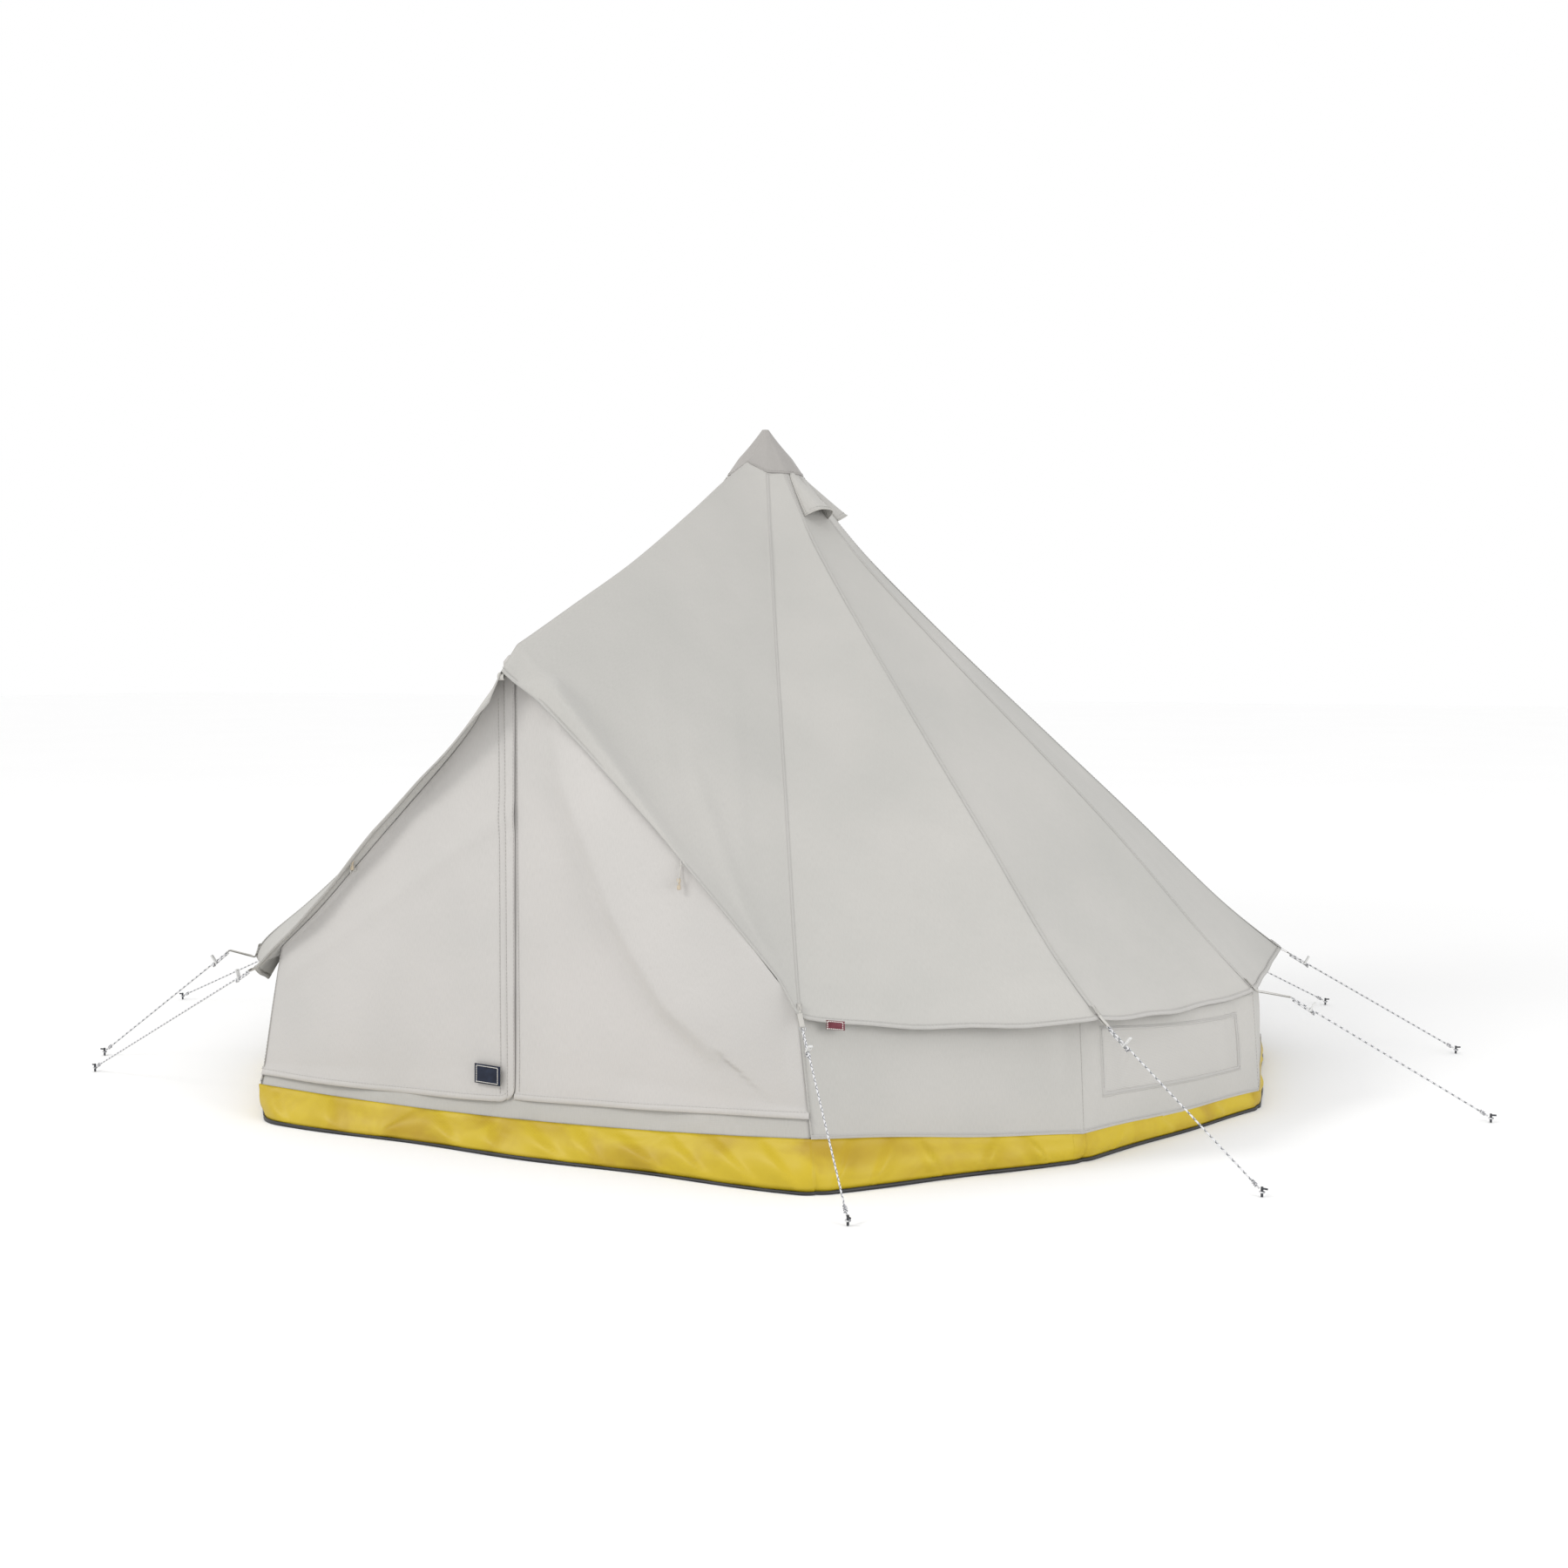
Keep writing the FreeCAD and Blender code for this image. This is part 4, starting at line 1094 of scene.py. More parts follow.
def sector_columns():
    """Column places of one wall sector, even over its window."""
    inner = steps(WINDOW_ACROSS[0], WINDOW_ACROSS[1], 18)
    return steps(0, WINDOW_ACROSS[0], 4)[:-1] + inner + steps(WINDOW_ACROSS[1], 1, 4)[1:]


def make_wall():
    """The round wall with its window openings, its foot seam and its stitches."""
    offsets = sector_columns()[:-1]
    places = [sector + offset for sector in range(10) for offset in offsets] + [10.0]
    rows = steps(0, WINDOW_UP[0], 6)[:-1] + steps(WINDOW_UP[0], WINDOW_UP[1], 12) + \
        steps(WINDOW_UP[1], 1, 5)[1:]

    def in_window(column, row):
        sector = int(places[column] + 1e-6)
        across = places[column] - sector
        return (sector in WINDOW_SECTORS
                and WINDOW_ACROSS[0] - 1e-6 <= across < WINDOW_ACROSS[1] - 1e-6
                and WINDOW_UP[0] - 1e-6 <= rows[row] < WINDOW_UP[1] - 1e-6)

    sheet = surface("wall_cloth", wall, places, rows, canvas, skip=in_window, size=(1.05, 0.48))
    thicken(sheet, CANVAS_THICKNESS)
    place_piece(sheet, "tent", "canvas", "wall_right", "wall_left")
    lines = []
    hem = Gathered()
    for corner in CORNERS:
        lines.append([wall(min(corner + 0.006, 10), share) for share in steps(0.02, 0.98, 14)])
    line = [wall(place, 0.02) for place in places]
    outs = [level_out(point) for point in line]
    spots, faces = ribbon(line, [UP] * len(line), outs, 0.009, 0.002, -0.0005)
    hem.add(spots, faces)
    tape = place_piece(hem.piece("wall_foot_seam", seam_tape_painted_shade), "tent", "canvas")
    lines.append([point + out * 0.003 + UP * 0.005 for point, out in zip(line, outs)])
    # Scaled up from the tent's axis by a little, so that the stitches lie on the cloth.
    lines = [[point * 1.0006 for point in row] for row in lines]
    sewn = place_piece(stitches("wall_stitches", lines), "tent", "canvas")


def window_spot(sector, x_share, up_share):
    """A point of a window opening, 0 to 1 across and up."""
    across = WINDOW_ACROSS[0] + (WINDOW_ACROSS[1] - WINDOW_ACROSS[0]) * x_share
    return wall(sector + across, WINDOW_UP[0] + (WINDOW_UP[1] - WINDOW_UP[0]) * up_share)


def make_windows():
    """Net, binding, stitches and flap of each window, and the net of each vent."""
    nets, bindings, lines = Gathered(), Gathered(), []
    for number, sector in enumerate(WINDOW_SECTORS, start=1):
        outward = polar((CORNER_ANGLES[sector] + CORNER_ANGLES[sector + 1]) / 2, 1, 0)
        spots = [window_spot(sector, x_share, up_share) - outward * 0.0012
                 for x_share in steps(-0.012, 1.012, 28) for up_share in steps(-0.03, 1.03, 10)]
        nets.add(spots, grid_faces(29, 11), grid_uvs(len(spots), 11, 0.0285, 0.0245))
        # Canvas binding round the opening, mitred at its corners, and its row of stitches.
        rim = [(x_share, 0.0) for x_share in steps(0, 1, 26)[:-1]]
        rim += [(1.0, up_share) for up_share in steps(0, 1, 10)[:-1]]
        rim += [(x_share, 1.0) for x_share in steps(1, 0, 26)[:-1]]
        rim += [(0.0, up_share) for up_share in steps(1, 0, 10)[:-1]]
        rings = []
        for x_share, up_share in rim:
            outer_x = x_share + (0.020 if x_share == 1 else -0.020 if x_share == 0 else 0)
            outer_up = up_share + (0.07 if up_share == 1 else -0.07 if up_share == 0 else 0)
            inner = window_spot(sector, x_share, up_share)
            outer = window_spot(sector, outer_x, outer_up)
            rings.append([outer + outward * 0.0003, outer.lerp(inner, 0.1) + outward * 0.0024,
                          outer.lerp(inner, 0.9) + outward * 0.0024, inner + outward * 0.0004])
        points = [point for ring in rings for point in ring]
        bindings.add(points, grid_faces(len(rings), 4, closed=True))
        lines.append([ring[1].lerp(ring[2], 0.5) + outward * 0.0008 for ring in rings])
        make_window_flap(number, sector, outward)
    # Vent mesh under each vent hood, on the roof.
    for sector in WINDOW_SECTORS:
        spots = []
        for across in steps(-0.16, 0.16, 8):
            for share in steps(0.052, 0.086, 6):
                point = canopy(sector + 1.5 + across, share)
                spots.append(point + Vector((point.x, point.y, 0.12)).normalized() * 0.0022)
        nets.add(spots, turned(grid_faces(9, 7)), grid_uvs(len(spots), 7, 0.01, 0.015))
    place_piece(nets.piece("window_and_vent_net", net), "tent", "insect_mesh", "mesh_panels")
    place_piece(bindings.piece("window_binding", seam_tape_painted_shade), "tent", "canvas")
    place_piece(stitches("window_stitches", lines), "tent", "canvas")


def make_window_flap(number, sector, outward):
    """The canvas flap that closes a window from inside, held along its top edge."""
    def flap(x_share, up_share):
        point = window_spot(sector, x_share * 1.036 - 0.018, up_share * 1.11 - 0.055)
        wave = 0.0012 * math.sin(x_share * 11 + number) * (1 - up_share)
        return point - outward * (0.0062 + wave)

    sheet = surface(f"window_flap_cloth_{number}", flap, steps(0, 1, 30), steps(0, 1, 10), canvas,
                    size=(0.83, 0.27))
    thicken(sheet, CANVAS_THICKNESS)
    place_piece(sheet, f"window_flap_body_{number}", "canvas", f"window_flap_{number}")


def ground_corner(corner):
    """A corner of the groundsheet on the ground."""
    if corner in DOOR_CORNERS:
        return Vector((1.115 if corner == 0 else -1.085, -1.812, 0.0))
    return polar(CORNER_ANGLES[corner], 1.930 if corner == 9 else 2.0, 0.0)


# Slanting folds in the skirt: where along it, and how far they lean from foot to top.
SKIRT_FOLDS = [
    (10.06, -0.07), (10.17, -0.05), (10.30, 0.06), (10.385, -0.07), (10.47, -0.05), (10.56, -0.09),
    (10.635, -0.06), (10.72, -0.10), (10.80, -0.08), (10.875, -0.09), (10.945, -0.07),
    (0.10, 0.08), (0.24, 0.10), (0.42, -0.09), (0.63, 0.07), (0.82, -0.08), (1.18, 0.07),
    (1.44, -0.08), (1.75, -0.06), (2.30, 0.08), (2.70, -0.07), (3.40, 0.08), (3.80, -0.06),
    (4.30, 0.07), (4.62, -0.08), (5.35, 0.07), (5.77, -0.07), (6.28, 0.08), (6.66, -0.06),
    (7.33, 0.07), (7.74, -0.08), (8.31, 0.06), (8.69, -0.07), (9.20, 0.08),
]


def skirt(column, share):
    """The groundsheet's turned-up edge, one unit of column to a side; side 10 is the door's."""
    side = min(int(column), 10)
    across = column - side
    after = (side + 1) % 11
    low = ground_corner(side).lerp(ground_corner(after), across)
    if side == 10:
        x = -1.062 + 2.138 * across
        high = Vector((x, -1.7635, skirt_top_at_door(x)))
        low.y -= 0.028 * math.sin(math.pi * across) ** 0.6 + 0.010 * math.sin(x * 7.5 + 1.0)
    else:
        high = wall(column, 0.0)
        high += level_out(high) * 0.0022
        low += level_out(low) * (
            0.006 * math.sin(column * 9.0) * 4 * across * (1 - across))
    # The corner of the sheet is folded and rounded where it meets the ground.
    to_corner = min(across, 1 - across) * (ground_corner(after) - ground_corner(side)).length
    inward = -level_out(low)
    nearest = side if across < 0.5 else after
    sharp = {10: 0.170, 0: 0.055}.get(nearest, 0.045)
    if side == 9:
        to_door = (1 - across) * (ground_corner(after) - ground_corner(side)).length
        low += inward * (0.0714 * max(0.0, 1 - to_door / 0.62) ** 1.1)
    if side != 9 or across < 0.5:
        low += inward * ((0.42 if nearest == 10 else 0.30) * sharp
                         * max(0.0, 1 - to_corner / sharp) ** 2)
    point = low.lerp(high, share)
    outward = -inward
    tall = high.z
    point += outward * (0.10 * tall * math.sin(math.pi * min(1.0, share * 1.15)) ** 1.2)
    point.z += 0.004 + 0.004 * (1 - share)
    crease = ripple(column * 7.0 + point.z * 9.0, point.z * 3.0, 5.1)
    point += outward * (0.005 * crease * math.sin(math.pi * share) * (1.6 if side == 10 else 1.0))
    for place, lean in SKIRT_FOLDS:
        away = (column - place - lean * (share - 0.5)) * 60
        point += outward * ((0.017 if side in (0, 10) else 0.007) * math.sin(math.pi * share) ** 0.7
                            * math.exp(-(away / (2.2 if away * lean > 0 else 0.45)) ** 2))
    return point


def skirt_columns():
    """Column places of the skirt, closer together by its corners and on the door side."""
    places = []
    for side in range(11):
        count = 230 if side == 10 else 84
        for index in range(count):
            t = index / count
            places.append(side + 0.45 * t + 0.55 * (0.5 - 0.5 * math.cos(math.pi * t)))
    return places


def make_groundsheet():
    """The yellow skirt with its tucks, and the black floor."""
    places = skirt_columns()
    rows = [share ** 0.8 for share in steps(0, 1, 14)]
    band = surface("skirt_cloth", skirt, places, rows, yellow, closed=True, size=(1.05, 0.12))
    thicken(band, 0.0016)
    place_piece(band, "tent", "groundsheet_yellow", "groundsheet_skirt")
    # The black floor: its edge is rolled up a little round the foot of the skirt; that black bead
    # is partly the sheet's own colour and partly painted shade for the contact shadow under the
    # skirt.
    outline = [skirt(place, 0.0) for place in places]
    rings = []
    for scale, height in ((0.02, 0.002), (0.2, 0.003), (0.4, 0.0025), (0.6, 0.003), (0.8, 0.0025),
                          (0.93, 0.003), (0.985, 0.0035)):
        rings.append([Vector((point.x * scale, point.y * scale,
                              height + 0.0015 * ripple(point.x * scale * 5,
                                                       point.y * scale * 5, 2.2)))
                      for point in outline])
    for out, height in ((0.001, 0.30), (0.002, 0.90), (0.004, 1.0), (0.007, 0.5), (0.006, 0.03),
                        (-0.030, 0.01)):
        ring = []
        for point in outline:
            # The edge shows more where the skirt above it is pulled back.
            tall = 0.0105 + 0.0045 * ripple(point.x * 2.3, point.y * 2.3, 6.4)
            outward = level_out(point)
            ring.append(point + outward * out + UP * (tall * height - point.z))
        rings.append(ring)
    columns = len(outline)
    points = [point for ring in rings for point in ring]
    middle = len(points)
    points.append(Vector((0, 0, 0.002)))
    faces = ring_faces(len(rings), columns)
    faces += [(middle, (side + 1) % columns, side) for side in range(columns)]
    floor = new_piece("floor_cloth", points, turned(faces), black,
                      [(point.x, point.y) for point in points])
    place_piece(floor, "tent", "groundsheet_black", "groundsheet_floor")
    tucks = Gathered()
    # A tuck takes up the slack at a corner: one edge laps over the other.
    section = ((0.050, 0.0008), (0.024, 0.0030), (0.004, 0.0062), (0.0, 0.0058), (0.0, 0.001))
    for corner in CORNERS[1:-1]:
        spots = []
        for across, lift in section:
            for share in steps(0.16, 0.985, 8):
                lean = 0.010 * (1 - share)
                point = skirt(corner - across - lean + 0.012, share)
                outward = level_out(point)
                spots.append(point + outward * lift * (0.35 + 0.65 * share))
        tucks.add(spots, grid_faces(5, 9))
    folds = place_piece(tucks.piece("skirt_tucks", yellow), "tent", "groundsheet_yellow")


make_wall()
make_windows()
make_groundsheet()

# ------------------------------------------------------------ door

FOLD_LINE = [Vector(spot) for spot in (
    (0.186, 1.345), (0.224, 1.195), (0.335, 0.966), (0.398, 0.818), (0.477, 0.686),
    (0.586, 0.531), (0.740, 0.408))]
LEAF_EDGE = 0.0015              # half the gap between the leaves
LEAVES = (("right", 1, "leaf_right"), ("left", -1, "leaf_left"))   # name, side, body


def leaf_hem(x):
    """Height of the leaves' lower edge, lower on the left where the sheet is slack."""
    if x > 0:
        return 0.166 + 0.030 * x + 0.014 * x * x
    return 0.157 + 0.048 * x + 0.040 * x * x


def fold_depth(x, z):
    """The soft diagonal fold down the right leaf: one side lies higher than the other."""
    best = None
    total = 0.0
    for start, end in zip(FOLD_LINE, FOLD_LINE[1:]):
        line = end - start
        share = (Vector((x, z)) - start).dot(line) / line.length_squared
        spot = start + line * min(max(share, 0.0), 1.0)
        gap = Vector((x, z)) - spot
        side = gap.x * -line.y + gap.y * line.x
        if best is None or gap.length < best[0]:
            best = (gap.length, 1 if side > 0 else -1, total + min(max(share, 0.0), 1.0))
        total += 1.0
    away, side, place = best
    strength = math.sin(math.pi * min(max((place + 0.4) / 6.8, 0.0), 1.0)) ** 0.7
    return strength * 0.048 * math.exp(-(away / (0.15 if side > 0 else 0.045)) ** 2)


def door_point(side, across, share, lift=0.0):
    """One door leaf with its gusset: across from the middle edge, share from hem to roof."""
    foot_x = LEAF_EDGE + ((1.068 if side > 0 else 1.050) - LEAF_EDGE) * across
    head_x = LEAF_EDGE + ((1.024 if side > 0 else 0.956) - LEAF_EDGE) * across
    foot_z = leaf_hem(side * foot_x)
    if side < 0:
        # The lapping corner at the foot of the left leaf is rounded.
        corner = 0.055
        inset = max(0.0, corner - (foot_x - LEAF_EDGE))
        foot_z += corner - math.sqrt(max(corner ** 2 - inset ** 2, 0.0))
    head_z = junction(side, head_x) - 0.004
    x = foot_x + (head_x - foot_x) * share
    z = foot_z + (head_z - foot_z) * share
    held = smooth(0.0, 0.05, 1 - share) * smooth(0.0, 0.06, 1 - across)
    forward = 0.0015
    if side > 0:
        forward += fold_depth(x, z) * held
        forward += 0.006 * math.sin(math.pi * share) * smooth(0.0, 0.25, across) * held
    else:
        forward += 0.002 + 0.008 * math.sin(math.pi * share) * held * smooth(0.0, 0.3, across)
        forward += 0.0055 * math.sin(x * 9 + z * 5.5) * held * smooth(0.1, 0.5, across)
        forward += 0.006 * math.exp(-((x + 1.55 * z - 1.72) / 0.07) ** 2) * held
    forward += 0.004 * ripple(x * 4 + side, z * 3, 7.7) * held * smooth(0.0, 0.1, across)
    low = 1 - smooth(0.0, 0.10, share)
    forward += low * (0.0065 + 0.002 * math.sin(x * 13 + side)) * smooth(-0.05, 0.10, across)
    return Vector((side * x, DOOR_Y - forward - lift, z))


def above_hem(side, across, height):
    """A point of a leaf a little way over its lower edge."""
    tall = door_point(side, across, 1.0).z - door_point(side, across, 0.0).z
    return door_point(side, across, height / tall)


def make_leaf(name, side):
    """The cloth of one leaf with its gusset, its hem and its stitches."""
    acrosses = [share ** 1.15 for share in steps(0, 1, 84)]
    shares = [1 - (1 - share) ** 1.1 for share in steps(0, 1, 96)]

    def spot(across, share):
        return door_point(side, across, share)

    leaf = surface(f"door_leaf_{name}_cloth", spot, acrosses, shares, door_canvas,
                   flip=side < 0, size=(1.05, 1.38))
    thicken(leaf, CANVAS_THICKNESS)
    hem, lines = Gathered(), []
    # The hem along the foot and up the middle edge, with its stitches.
    section = ((0.0004, -0.0002), (0.0020, 0.0012), (0.0110, 0.0013), (0.0200, 0.0012),
               (0.0220, -0.0004))
    spots = [above_hem(side, across, height) - Vector((0, lift, 0))
             for across in acrosses for height, lift in section]
    faces = grid_faces(len(acrosses), len(section))
    hem.add(spots, faces if side > 0 else turned(faces))
    lines.append([above_hem(side, across, 0.020) - Vector((0, 0.0012, 0)) for across in acrosses])
    from_edge = 0.020 if side > 0 else 0.046
    lines.append([door_point(side, from_edge, share, 0.0015) for share in shares[2:-6]])
    hem_piece = hem.piece(f"door_leaf_{name}_hem", door_canvas)
    sewn = stitches(f"door_leaf_{name}_stitches", lines)
    return leaf, hem_piece, sewn


def blend_leaf(piece):
    """Bakes a piece's transform into its mesh."""
    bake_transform(piece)


def make_door():
    """Both leaves, the storm flap, the sill and the labels."""
    for name, side, body in LEAVES:
        leaf, hem, sewn = make_leaf(name, side)
        for piece in (leaf, hem, sewn):
            blend_leaf(piece)
        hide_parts(f"door_leaf_{name}", f"door_gusset_{name}")
    make_storm_flap()
    make_sill()
    make_patch_and_tag()


def make_storm_flap():
    """The doubled strip along the left leaf's middle edge, which laps over the zip."""
    def spot(across, share):
        reach = 0.024
        lap = 0.006 + 0.013 * share
        x = lap - (lap + reach) * across
        foot = 0.157
        corner = 0.052
        inset = max(0.0, corner - (lap - x))
        foot += corner - math.sqrt(max(corner ** 2 - inset ** 2, 0.0))
        head = junction(1, max(abs(x), 0.004)) - 0.006
        z = foot + (head - foot) * share
        behind = door_point(-1, max(-x, LEAF_EDGE) / 1.048, (z - 0.157) / (head - 0.157))
        edge = 1 - smooth(0.0, 0.75, across)
        ahead = 0.0020 + 0.0026 * edge * (0.7 + 0.3 * math.sin(z * 17))
        return Vector((x, min(behind.y, DOOR_Y - 0.0045) - ahead, z))

    flap = surface("storm_flap_cloth", spot, steps(0, 1, 12), steps(0, 1, 110), door_canvas,
                   flip=True, size=(0.04, 1.3))
    thicken(flap, 2 * CANVAS_THICKNESS)
    lines = [[spot(across, share) - Vector((0, 0.0010, 0)) for share in steps(0.012, 0.985, 100)]
             for across in (0.10, 0.93)]
    sewn = stitches("storm_flap_stitches", lines)
    for piece in (flap, sewn):
        blend_leaf(piece)
    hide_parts("storm_flap")


def make_sill():
    """The canvas strip between the leaves' hem and the skirt."""
    def spot(place, share):
        x = -1.056 + 2.126 * place
        low = skirt_top_at_door(x) - 0.004
        high = max(leaf_hem(x) + 0.025, 0.172)
        z = low + (high - low) * share
        wave = 0.0015 * math.sin(x * 21) * math.sin(math.pi * share)
        pucker = 0.0015 * ripple(x * 11, share * 2, 8.8)
        return Vector((x, DOOR_Y - 0.0062 + 0.0085 * share - wave - pucker, z))

    strip = surface("door_sill_cloth", spot, steps(0, 1, 120), steps(0, 1, 8), canvas,
                    size=(2.12, 0.06))
    thicken(strip, CANVAS_THICKNESS)
    place_piece(strip, "tent", "canvas", "door_sill")


def sewn_label(name, corners, cloth, border):
    """A small woven label: rounded at its corners, slightly raised, with a sewn border."""
    def spot(across, share):
        low = corners[0].lerp(corners[1], across)
        high = corners[3].lerp(corners[2], across)
        edge = min(across, 1 - across, share, 1 - share)
        return low.lerp(high, share) - Vector((0, 0.0016 * smooth(0, 0.06, edge), 0))

    label = surface(name, spot, steps(0, 1, 16), steps(0, 1, 12), cloth, size=(0.1, 0.066))
    thicken(label, 0.0012, 0.0)
    inset = 0.09
    far = 1 - inset
    ring = [(inset, inset), (far, inset), (far, far), (inset, far), (inset, inset)]
    line = [spot(*start).lerp(spot(*end), t) - Vector((0, 0.0012, 0))
            for start, end in zip(ring, ring[1:]) for t in steps(0, 1, 8)[:-1]]
    line.append(line[0])
    sewn = stitches(f"{name}_border", [line], 0.006, 0.0045, 0.0011, border)
    return label, sewn


def make_patch_and_tag():
    """Two plain labels: one on the left leaf, one under the eave beside the door."""
    low, high = 0.208, 0.272
    y = DOOR_Y - 0.0185
    corners = [Vector((-0.143, y, low + 0.004)), Vector((-0.042, y, low)),
               Vector((-0.041, y, high)), Vector((-0.142, y, high + 0.004))]
    for piece in sewn_label("woven_patch", corners, patch_cloth, light_thread):
        place_piece(piece, "leaf_left", "door_canvas")
    start = canopy(1.085, 1.0)
    end = canopy(1.145, 1.0)
    drop = Vector((0.0, 0.0, -0.021))
    tuck = UP * 0.006
    corners = [start + drop, end + drop, end + tuck, start + tuck]
    for piece in sewn_label("woven_tag", corners, tag_cloth, light_thread):
        place_piece(piece, "tent", "canvas")


make_door()

# ------------------------------------------------------------ zips, toggles, webbing, fittings


def finish_node(name, material):
    """Gives a CAD node that stays its material."""
    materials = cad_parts[name].data.materials
    materials.clear()
    materials.append(material)


def make_zips():
    """Teeth along both edges of the middle zip, on the CAD tapes."""
    for name, side, body in LEAVES:
        finish_node(f"zip_tape_{name}", zip_tape)
        line = [Vector((side * 0.0016, DOOR_Y + 0.0052, z)) for z in steps(0.24, 1.40, 40)]
        teeth = repeat_along(f"zip_teeth_{name}", [line], TEETH, {
            "Pitch": 0.005, "Tooth Size": (0.0032, 0.0026, 0.0022), "Material": nickel})
        place_piece(teeth, body, "zip_metal")


BEADED_END = ((0.0022, 0.0040), (0.0050, 0.0056), (0.0130, 0.0062), (0.0172, 0.0050),
              (0.0180, 0.0022))     # half a toggle: height from its middle, radius


def make_toggles():
    """Turned toggles on a loop of webbing, ready to hold a rolled leaf."""
    wood, loops = Gathered(), Gathered()
    for side in (1, -1):
        middle = Vector((side * 0.630, DOOR_Y - 0.024, 0.901))
        shape = [(-z, radius) for z, radius in reversed(BEADED_END)] + list(BEADED_END)
        wood.add(*tube([middle + UP * z for z, radius in shape],
                       [radius for z, radius in shape], 14))
        anchor = Vector((side * 0.630, DOOR_Y - 0.012, junction(side, 0.63) - 0.010))
        line = smooth_line([anchor, anchor + Vector((side * 0.006, -0.010, -0.020)),
                            middle + Vector((0.0, -0.0062, 0.006)),
                            middle + Vector((0, -0.0058, 0)), middle + Vector((0.0, 0.0058, 0.0)),
                            anchor + Vector((-side * 0.004, 0.002, -0.012))])
        loops.add(*tube([line(share) for share in steps(0, 1, 30)], 0.0018, 7))
    place_piece(weld(wood.piece("turned_toggles", beech)), "tent", "toggle_wood", "door_toggles")
    place_piece(weld(loops.piece("toggle_loops", webbing)), "tent", "webbing")


def strap(points, side, half_width, thickness):
    """A flat woven strap along a line, with its thickness and rounded edges."""
    spots = []
    section = [(-1, 0), (-0.8, 1), (0.8, 1), (1, 0), (0.8, -1), (-0.8, -1)]
    for index, point in enumerate(points):
        before, after = points[max(index - 1, 0)], points[min(index + 1, len(points) - 1)]
        normal = side.cross((after - before).normalized())
        spots += [point + side * (across * half_width) + normal * (up * thickness / 2)
                  for across, up in section]
    faces = ring_faces(len(points), 6)
    faces.append(tuple(reversed(range(6))))
    faces.append(tuple(range(len(points) * 6 - 6, len(points) * 6)))
    return spots, faces


def make_tabs():
    """At each eave tip: a folded webbing tab sewn through the hem, and its steel ring."""
    tabs, rings = Gathered(), Gathered()
    lines = []
    for corner in CORNERS:
        tip, run = rope_line(corner)[:2]
        real_tip = canopy(corner + 1, 1.0)
        side, upward = frame_along(run)
        in_roof = (canopy(corner + 1, 0.975) - real_tip).normalized()
        over_roof = in_roof.cross(side) if in_roof.cross(side).z > 0 else side.cross(in_roof)
        loop_end = tip + run * 0.033
        reach = loop_end - real_tip
        for lift in (1, -1):
            line = smooth_line([real_tip + in_roof * 0.055 + over_roof * (0.0042 * lift),
                                real_tip + in_roof * 0.02 + over_roof * (0.0042 * lift),
                                real_tip + over_roof * (0.0036 * lift) + reach * 0.06]
                               + [real_tip + reach * share
                                  + upward * (0.0034 - 0.0012 * share) * lift
                                  for share in (0.25, 0.45, 0.65, 0.85, 1.0)]
                               + [loop_end + run * 0.0022])
            tabs.add(*strap([line(share) for share in steps(0, 1, 24)], side, 0.0085, 0.0014))
        over = [real_tip + in_roof * place + over_roof * 0.0056 for place in (0.012, 0.050)]
        # A box of stitches with a cross in it.
        near_left, near_right = over[0] + side * 0.008, over[0] - side * 0.008
        far_left, far_right = over[1] + side * 0.008, over[1] - side * 0.008
        lines += [[near_left, far_right], [near_right, far_left],
                  [near_left, near_right, far_right, far_left, near_left]]
        centre = loop_end + run * 0.0075
        ring = [centre + run * (math.cos(turn) * 0.0095) + side * (math.sin(turn) * 0.0095)
                for turn in circle(22)]
        rings.add(*tube(ring, 0.0016, 8, closed=True))
    place_piece(tabs.piece("eave_webbing_tabs", webbing), "tent", "webbing", "eave_tabs")
    place_piece(weld(rings.piece("eave_rings", nickel)), "tent", "zip_metal")
    place_piece(stitches("eave_tab_stitches", lines, 0.005, 0.0038, 0.0008), "tent", "webbing")


def make_rope_returns():
    """The second strand between each eave ring and its slider, and the wrap through the slider."""
    for corner in CORNERS:
        number = f"{corner + 1:02d}"
        tip, run, start = rope_line(corner)[:3]
        side, upward = frame_along(run)
        first = start + run * 0.006 - upward * 0.0062
        last = tip + run * 0.121 - upward * 0.0085
        path = rope_path(f"return_route_{number}", [first, first.lerp(last, 0.5), last])
        spots, faces, uvs = tube(path, 0.0028)
        strand = weld(new_piece(f"rope_return_{number}", spots, faces, braid, uvs))
        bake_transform(strand)
        knot = coil_round(last + upward * 0.0020, run, 0.0052, 1.75, 0.0060)
        spots, faces, uvs = tube(knot, 0.0027, 7)
        wrap = weld(new_piece(f"slider_knot_{number}", spots, faces, braid, uvs))
        place_piece(wrap, f"slider_{number}", "guy_rope")


def make_hood_tab():
    """The short webbing loop under the tip of the hood."""
    tip = canopy(0.0, 1.0)
    line = smooth_line([tip + Vector(away) for away in (
        (-0.006, 0.026, -0.004), (-0.006, 0.008, -0.008), (-0.007, 0.003, -0.020),
        (-0.007, 0.008, -0.030), (-0.007, 0.016, -0.022), (-0.006, 0.026, -0.008))])
    spots, faces = strap([line(share) for share in steps(0, 1, 26)],
                         Vector((1, 0, 0)), 0.012, 0.0016)
    uvs = [(spot.x + spot.y, spot.z) for spot in spots]
    place_piece(new_piece("hood_webbing_loop", spots, faces, webbing, uvs), "tent", "webbing")


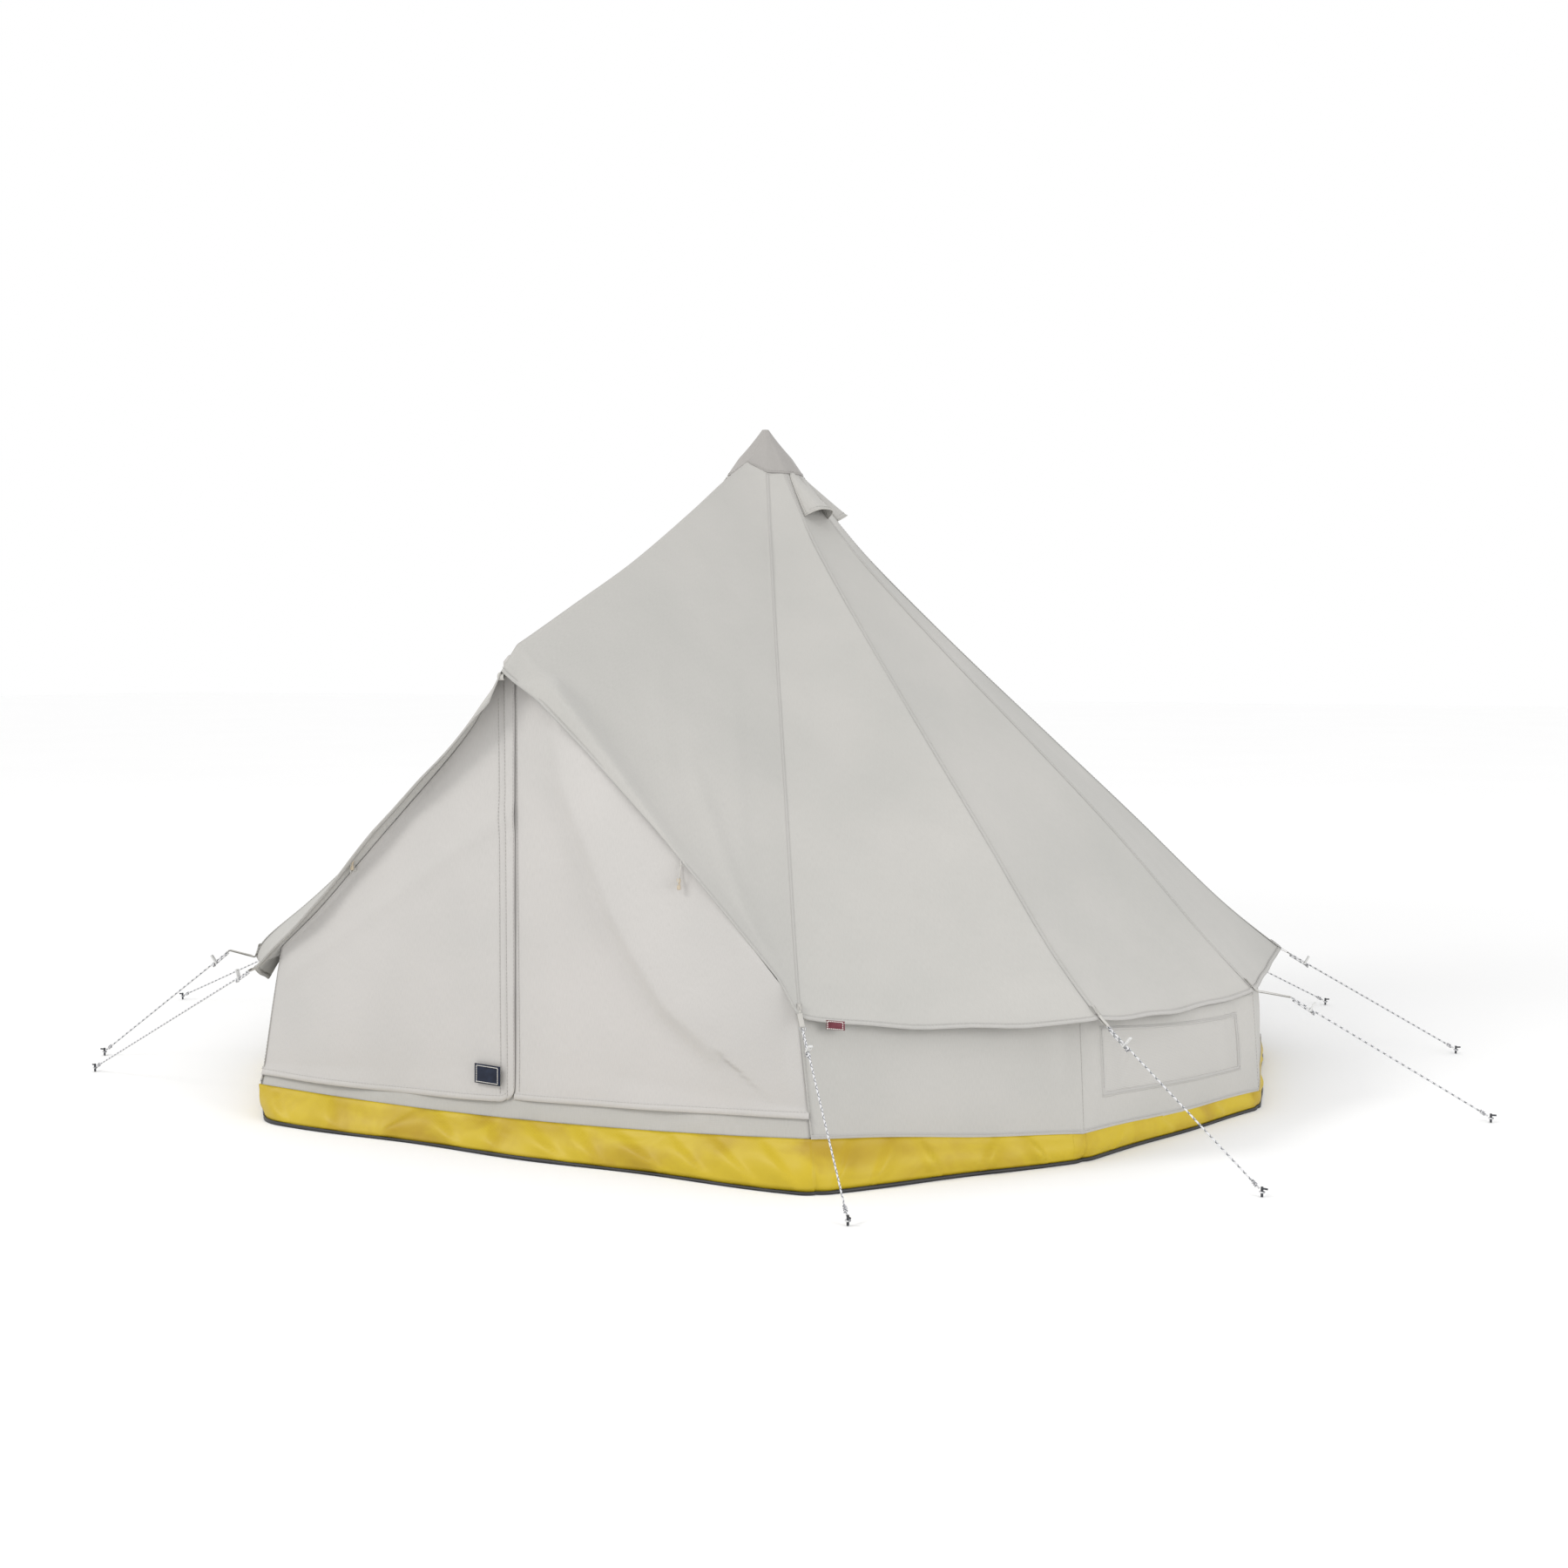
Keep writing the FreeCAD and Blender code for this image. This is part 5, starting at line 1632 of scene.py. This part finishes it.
def dress_nodes():
    """Finishes for the CAD nodes that stay."""
    finishes = {
        steel: ["centre_pole_lower", "centre_pole_upper", "pole_sleeve", "peak_spigot",
                "a_frame_leg_right", "a_frame_leg_left", "a_frame_elbow"],
        rubber: ["pole_foot", "a_frame_feet"],
        nickel: ["door_zip_slider", "sill_zip_slider_right", "sill_zip_slider_left"],
        nylon: [f"guy_slider_{corner + 1:02d}" for corner in CORNERS],
        peg_steel: ["guy_pegs"],
    }
    for material, names in finishes.items():
        for name in names:
            finish_node(name, material)


make_zips()
make_toggles()
make_tabs()
make_rope_returns()
make_hood_tab()
dress_nodes()

# ------------------------------------------------------------ studio


def make_studio():
    """A white floor with painted shade, greyer near the object, and a bright even dome, with a soft
    key from the front left.
    """
    half = 60.0
    floor = new_piece("floor", [Vector((x * half, y * half, -0.0012))
                                for x, y in ((-1, -1), (1, -1), (1, 1), (-1, 1))],
                      [(0, 1, 2, 3)], [])
    material, tree, shader = new_material(
        "painted_studio_floor", Roughness=0.9, Specular_IOR_Level=0.1)
    place = add_node(tree, "ShaderNodeTexCoord")
    cloud = add_node(tree, "ShaderNodeTexNoise", inputs={
        "Vector": place.outputs["Object"], "Scale": 0.4})
    # Painted shade: greyer near the object, so that its contact shadow can show under the bright
    # light.
    away = add_node(tree, "ShaderNodeVectorMath", {"operation": "LENGTH"},
                    {0: place.outputs["Object"]})
    reach = add_node(tree, "ShaderNodeMapRange", {"interpolation_type": "SMOOTHSTEP"},
                     {"Value": away.outputs["Value"], "From Min": 2.5, "From Max": 10.0})
    far = two_tones(tree, cloud.outputs["Fac"], "FDFDFD", "FEFEFE")
    near = two_tones(tree, cloud.outputs["Fac"], "EEEEEE", "EFEFEF")
    paint = add_node(tree, "ShaderNodeMix", {"data_type": "RGBA"},
                     {0: reach.outputs["Result"], 6: near, 7: far})
    tree.links.new(paint.outputs[2], shader.inputs["Base Color"])
    floor.data.materials.append(material)
    world = bpy.data.worlds.new("white_dome")
    world.use_nodes = True
    background = world.node_tree.nodes["Background"]
    background.inputs["Color"].default_value = (1.0, 1.0, 1.0, 1.0)
    background.inputs["Strength"].default_value = 1.0
    bpy.context.scene.world = world
    area_light("key", (-4.6, -7.6, 7.2), (0.0, -1.0, 0.8), 3.0, 390, (1.0, 0.99, 0.97))
    area_light("fill", (7.5, -3.5, 2.6), (0.0, 0.0, 0.8), 4.0, 178, (1.0, 1.0, 1.0))


make_studio()
bpy.context.scene.view_settings.view_transform = "Standard"
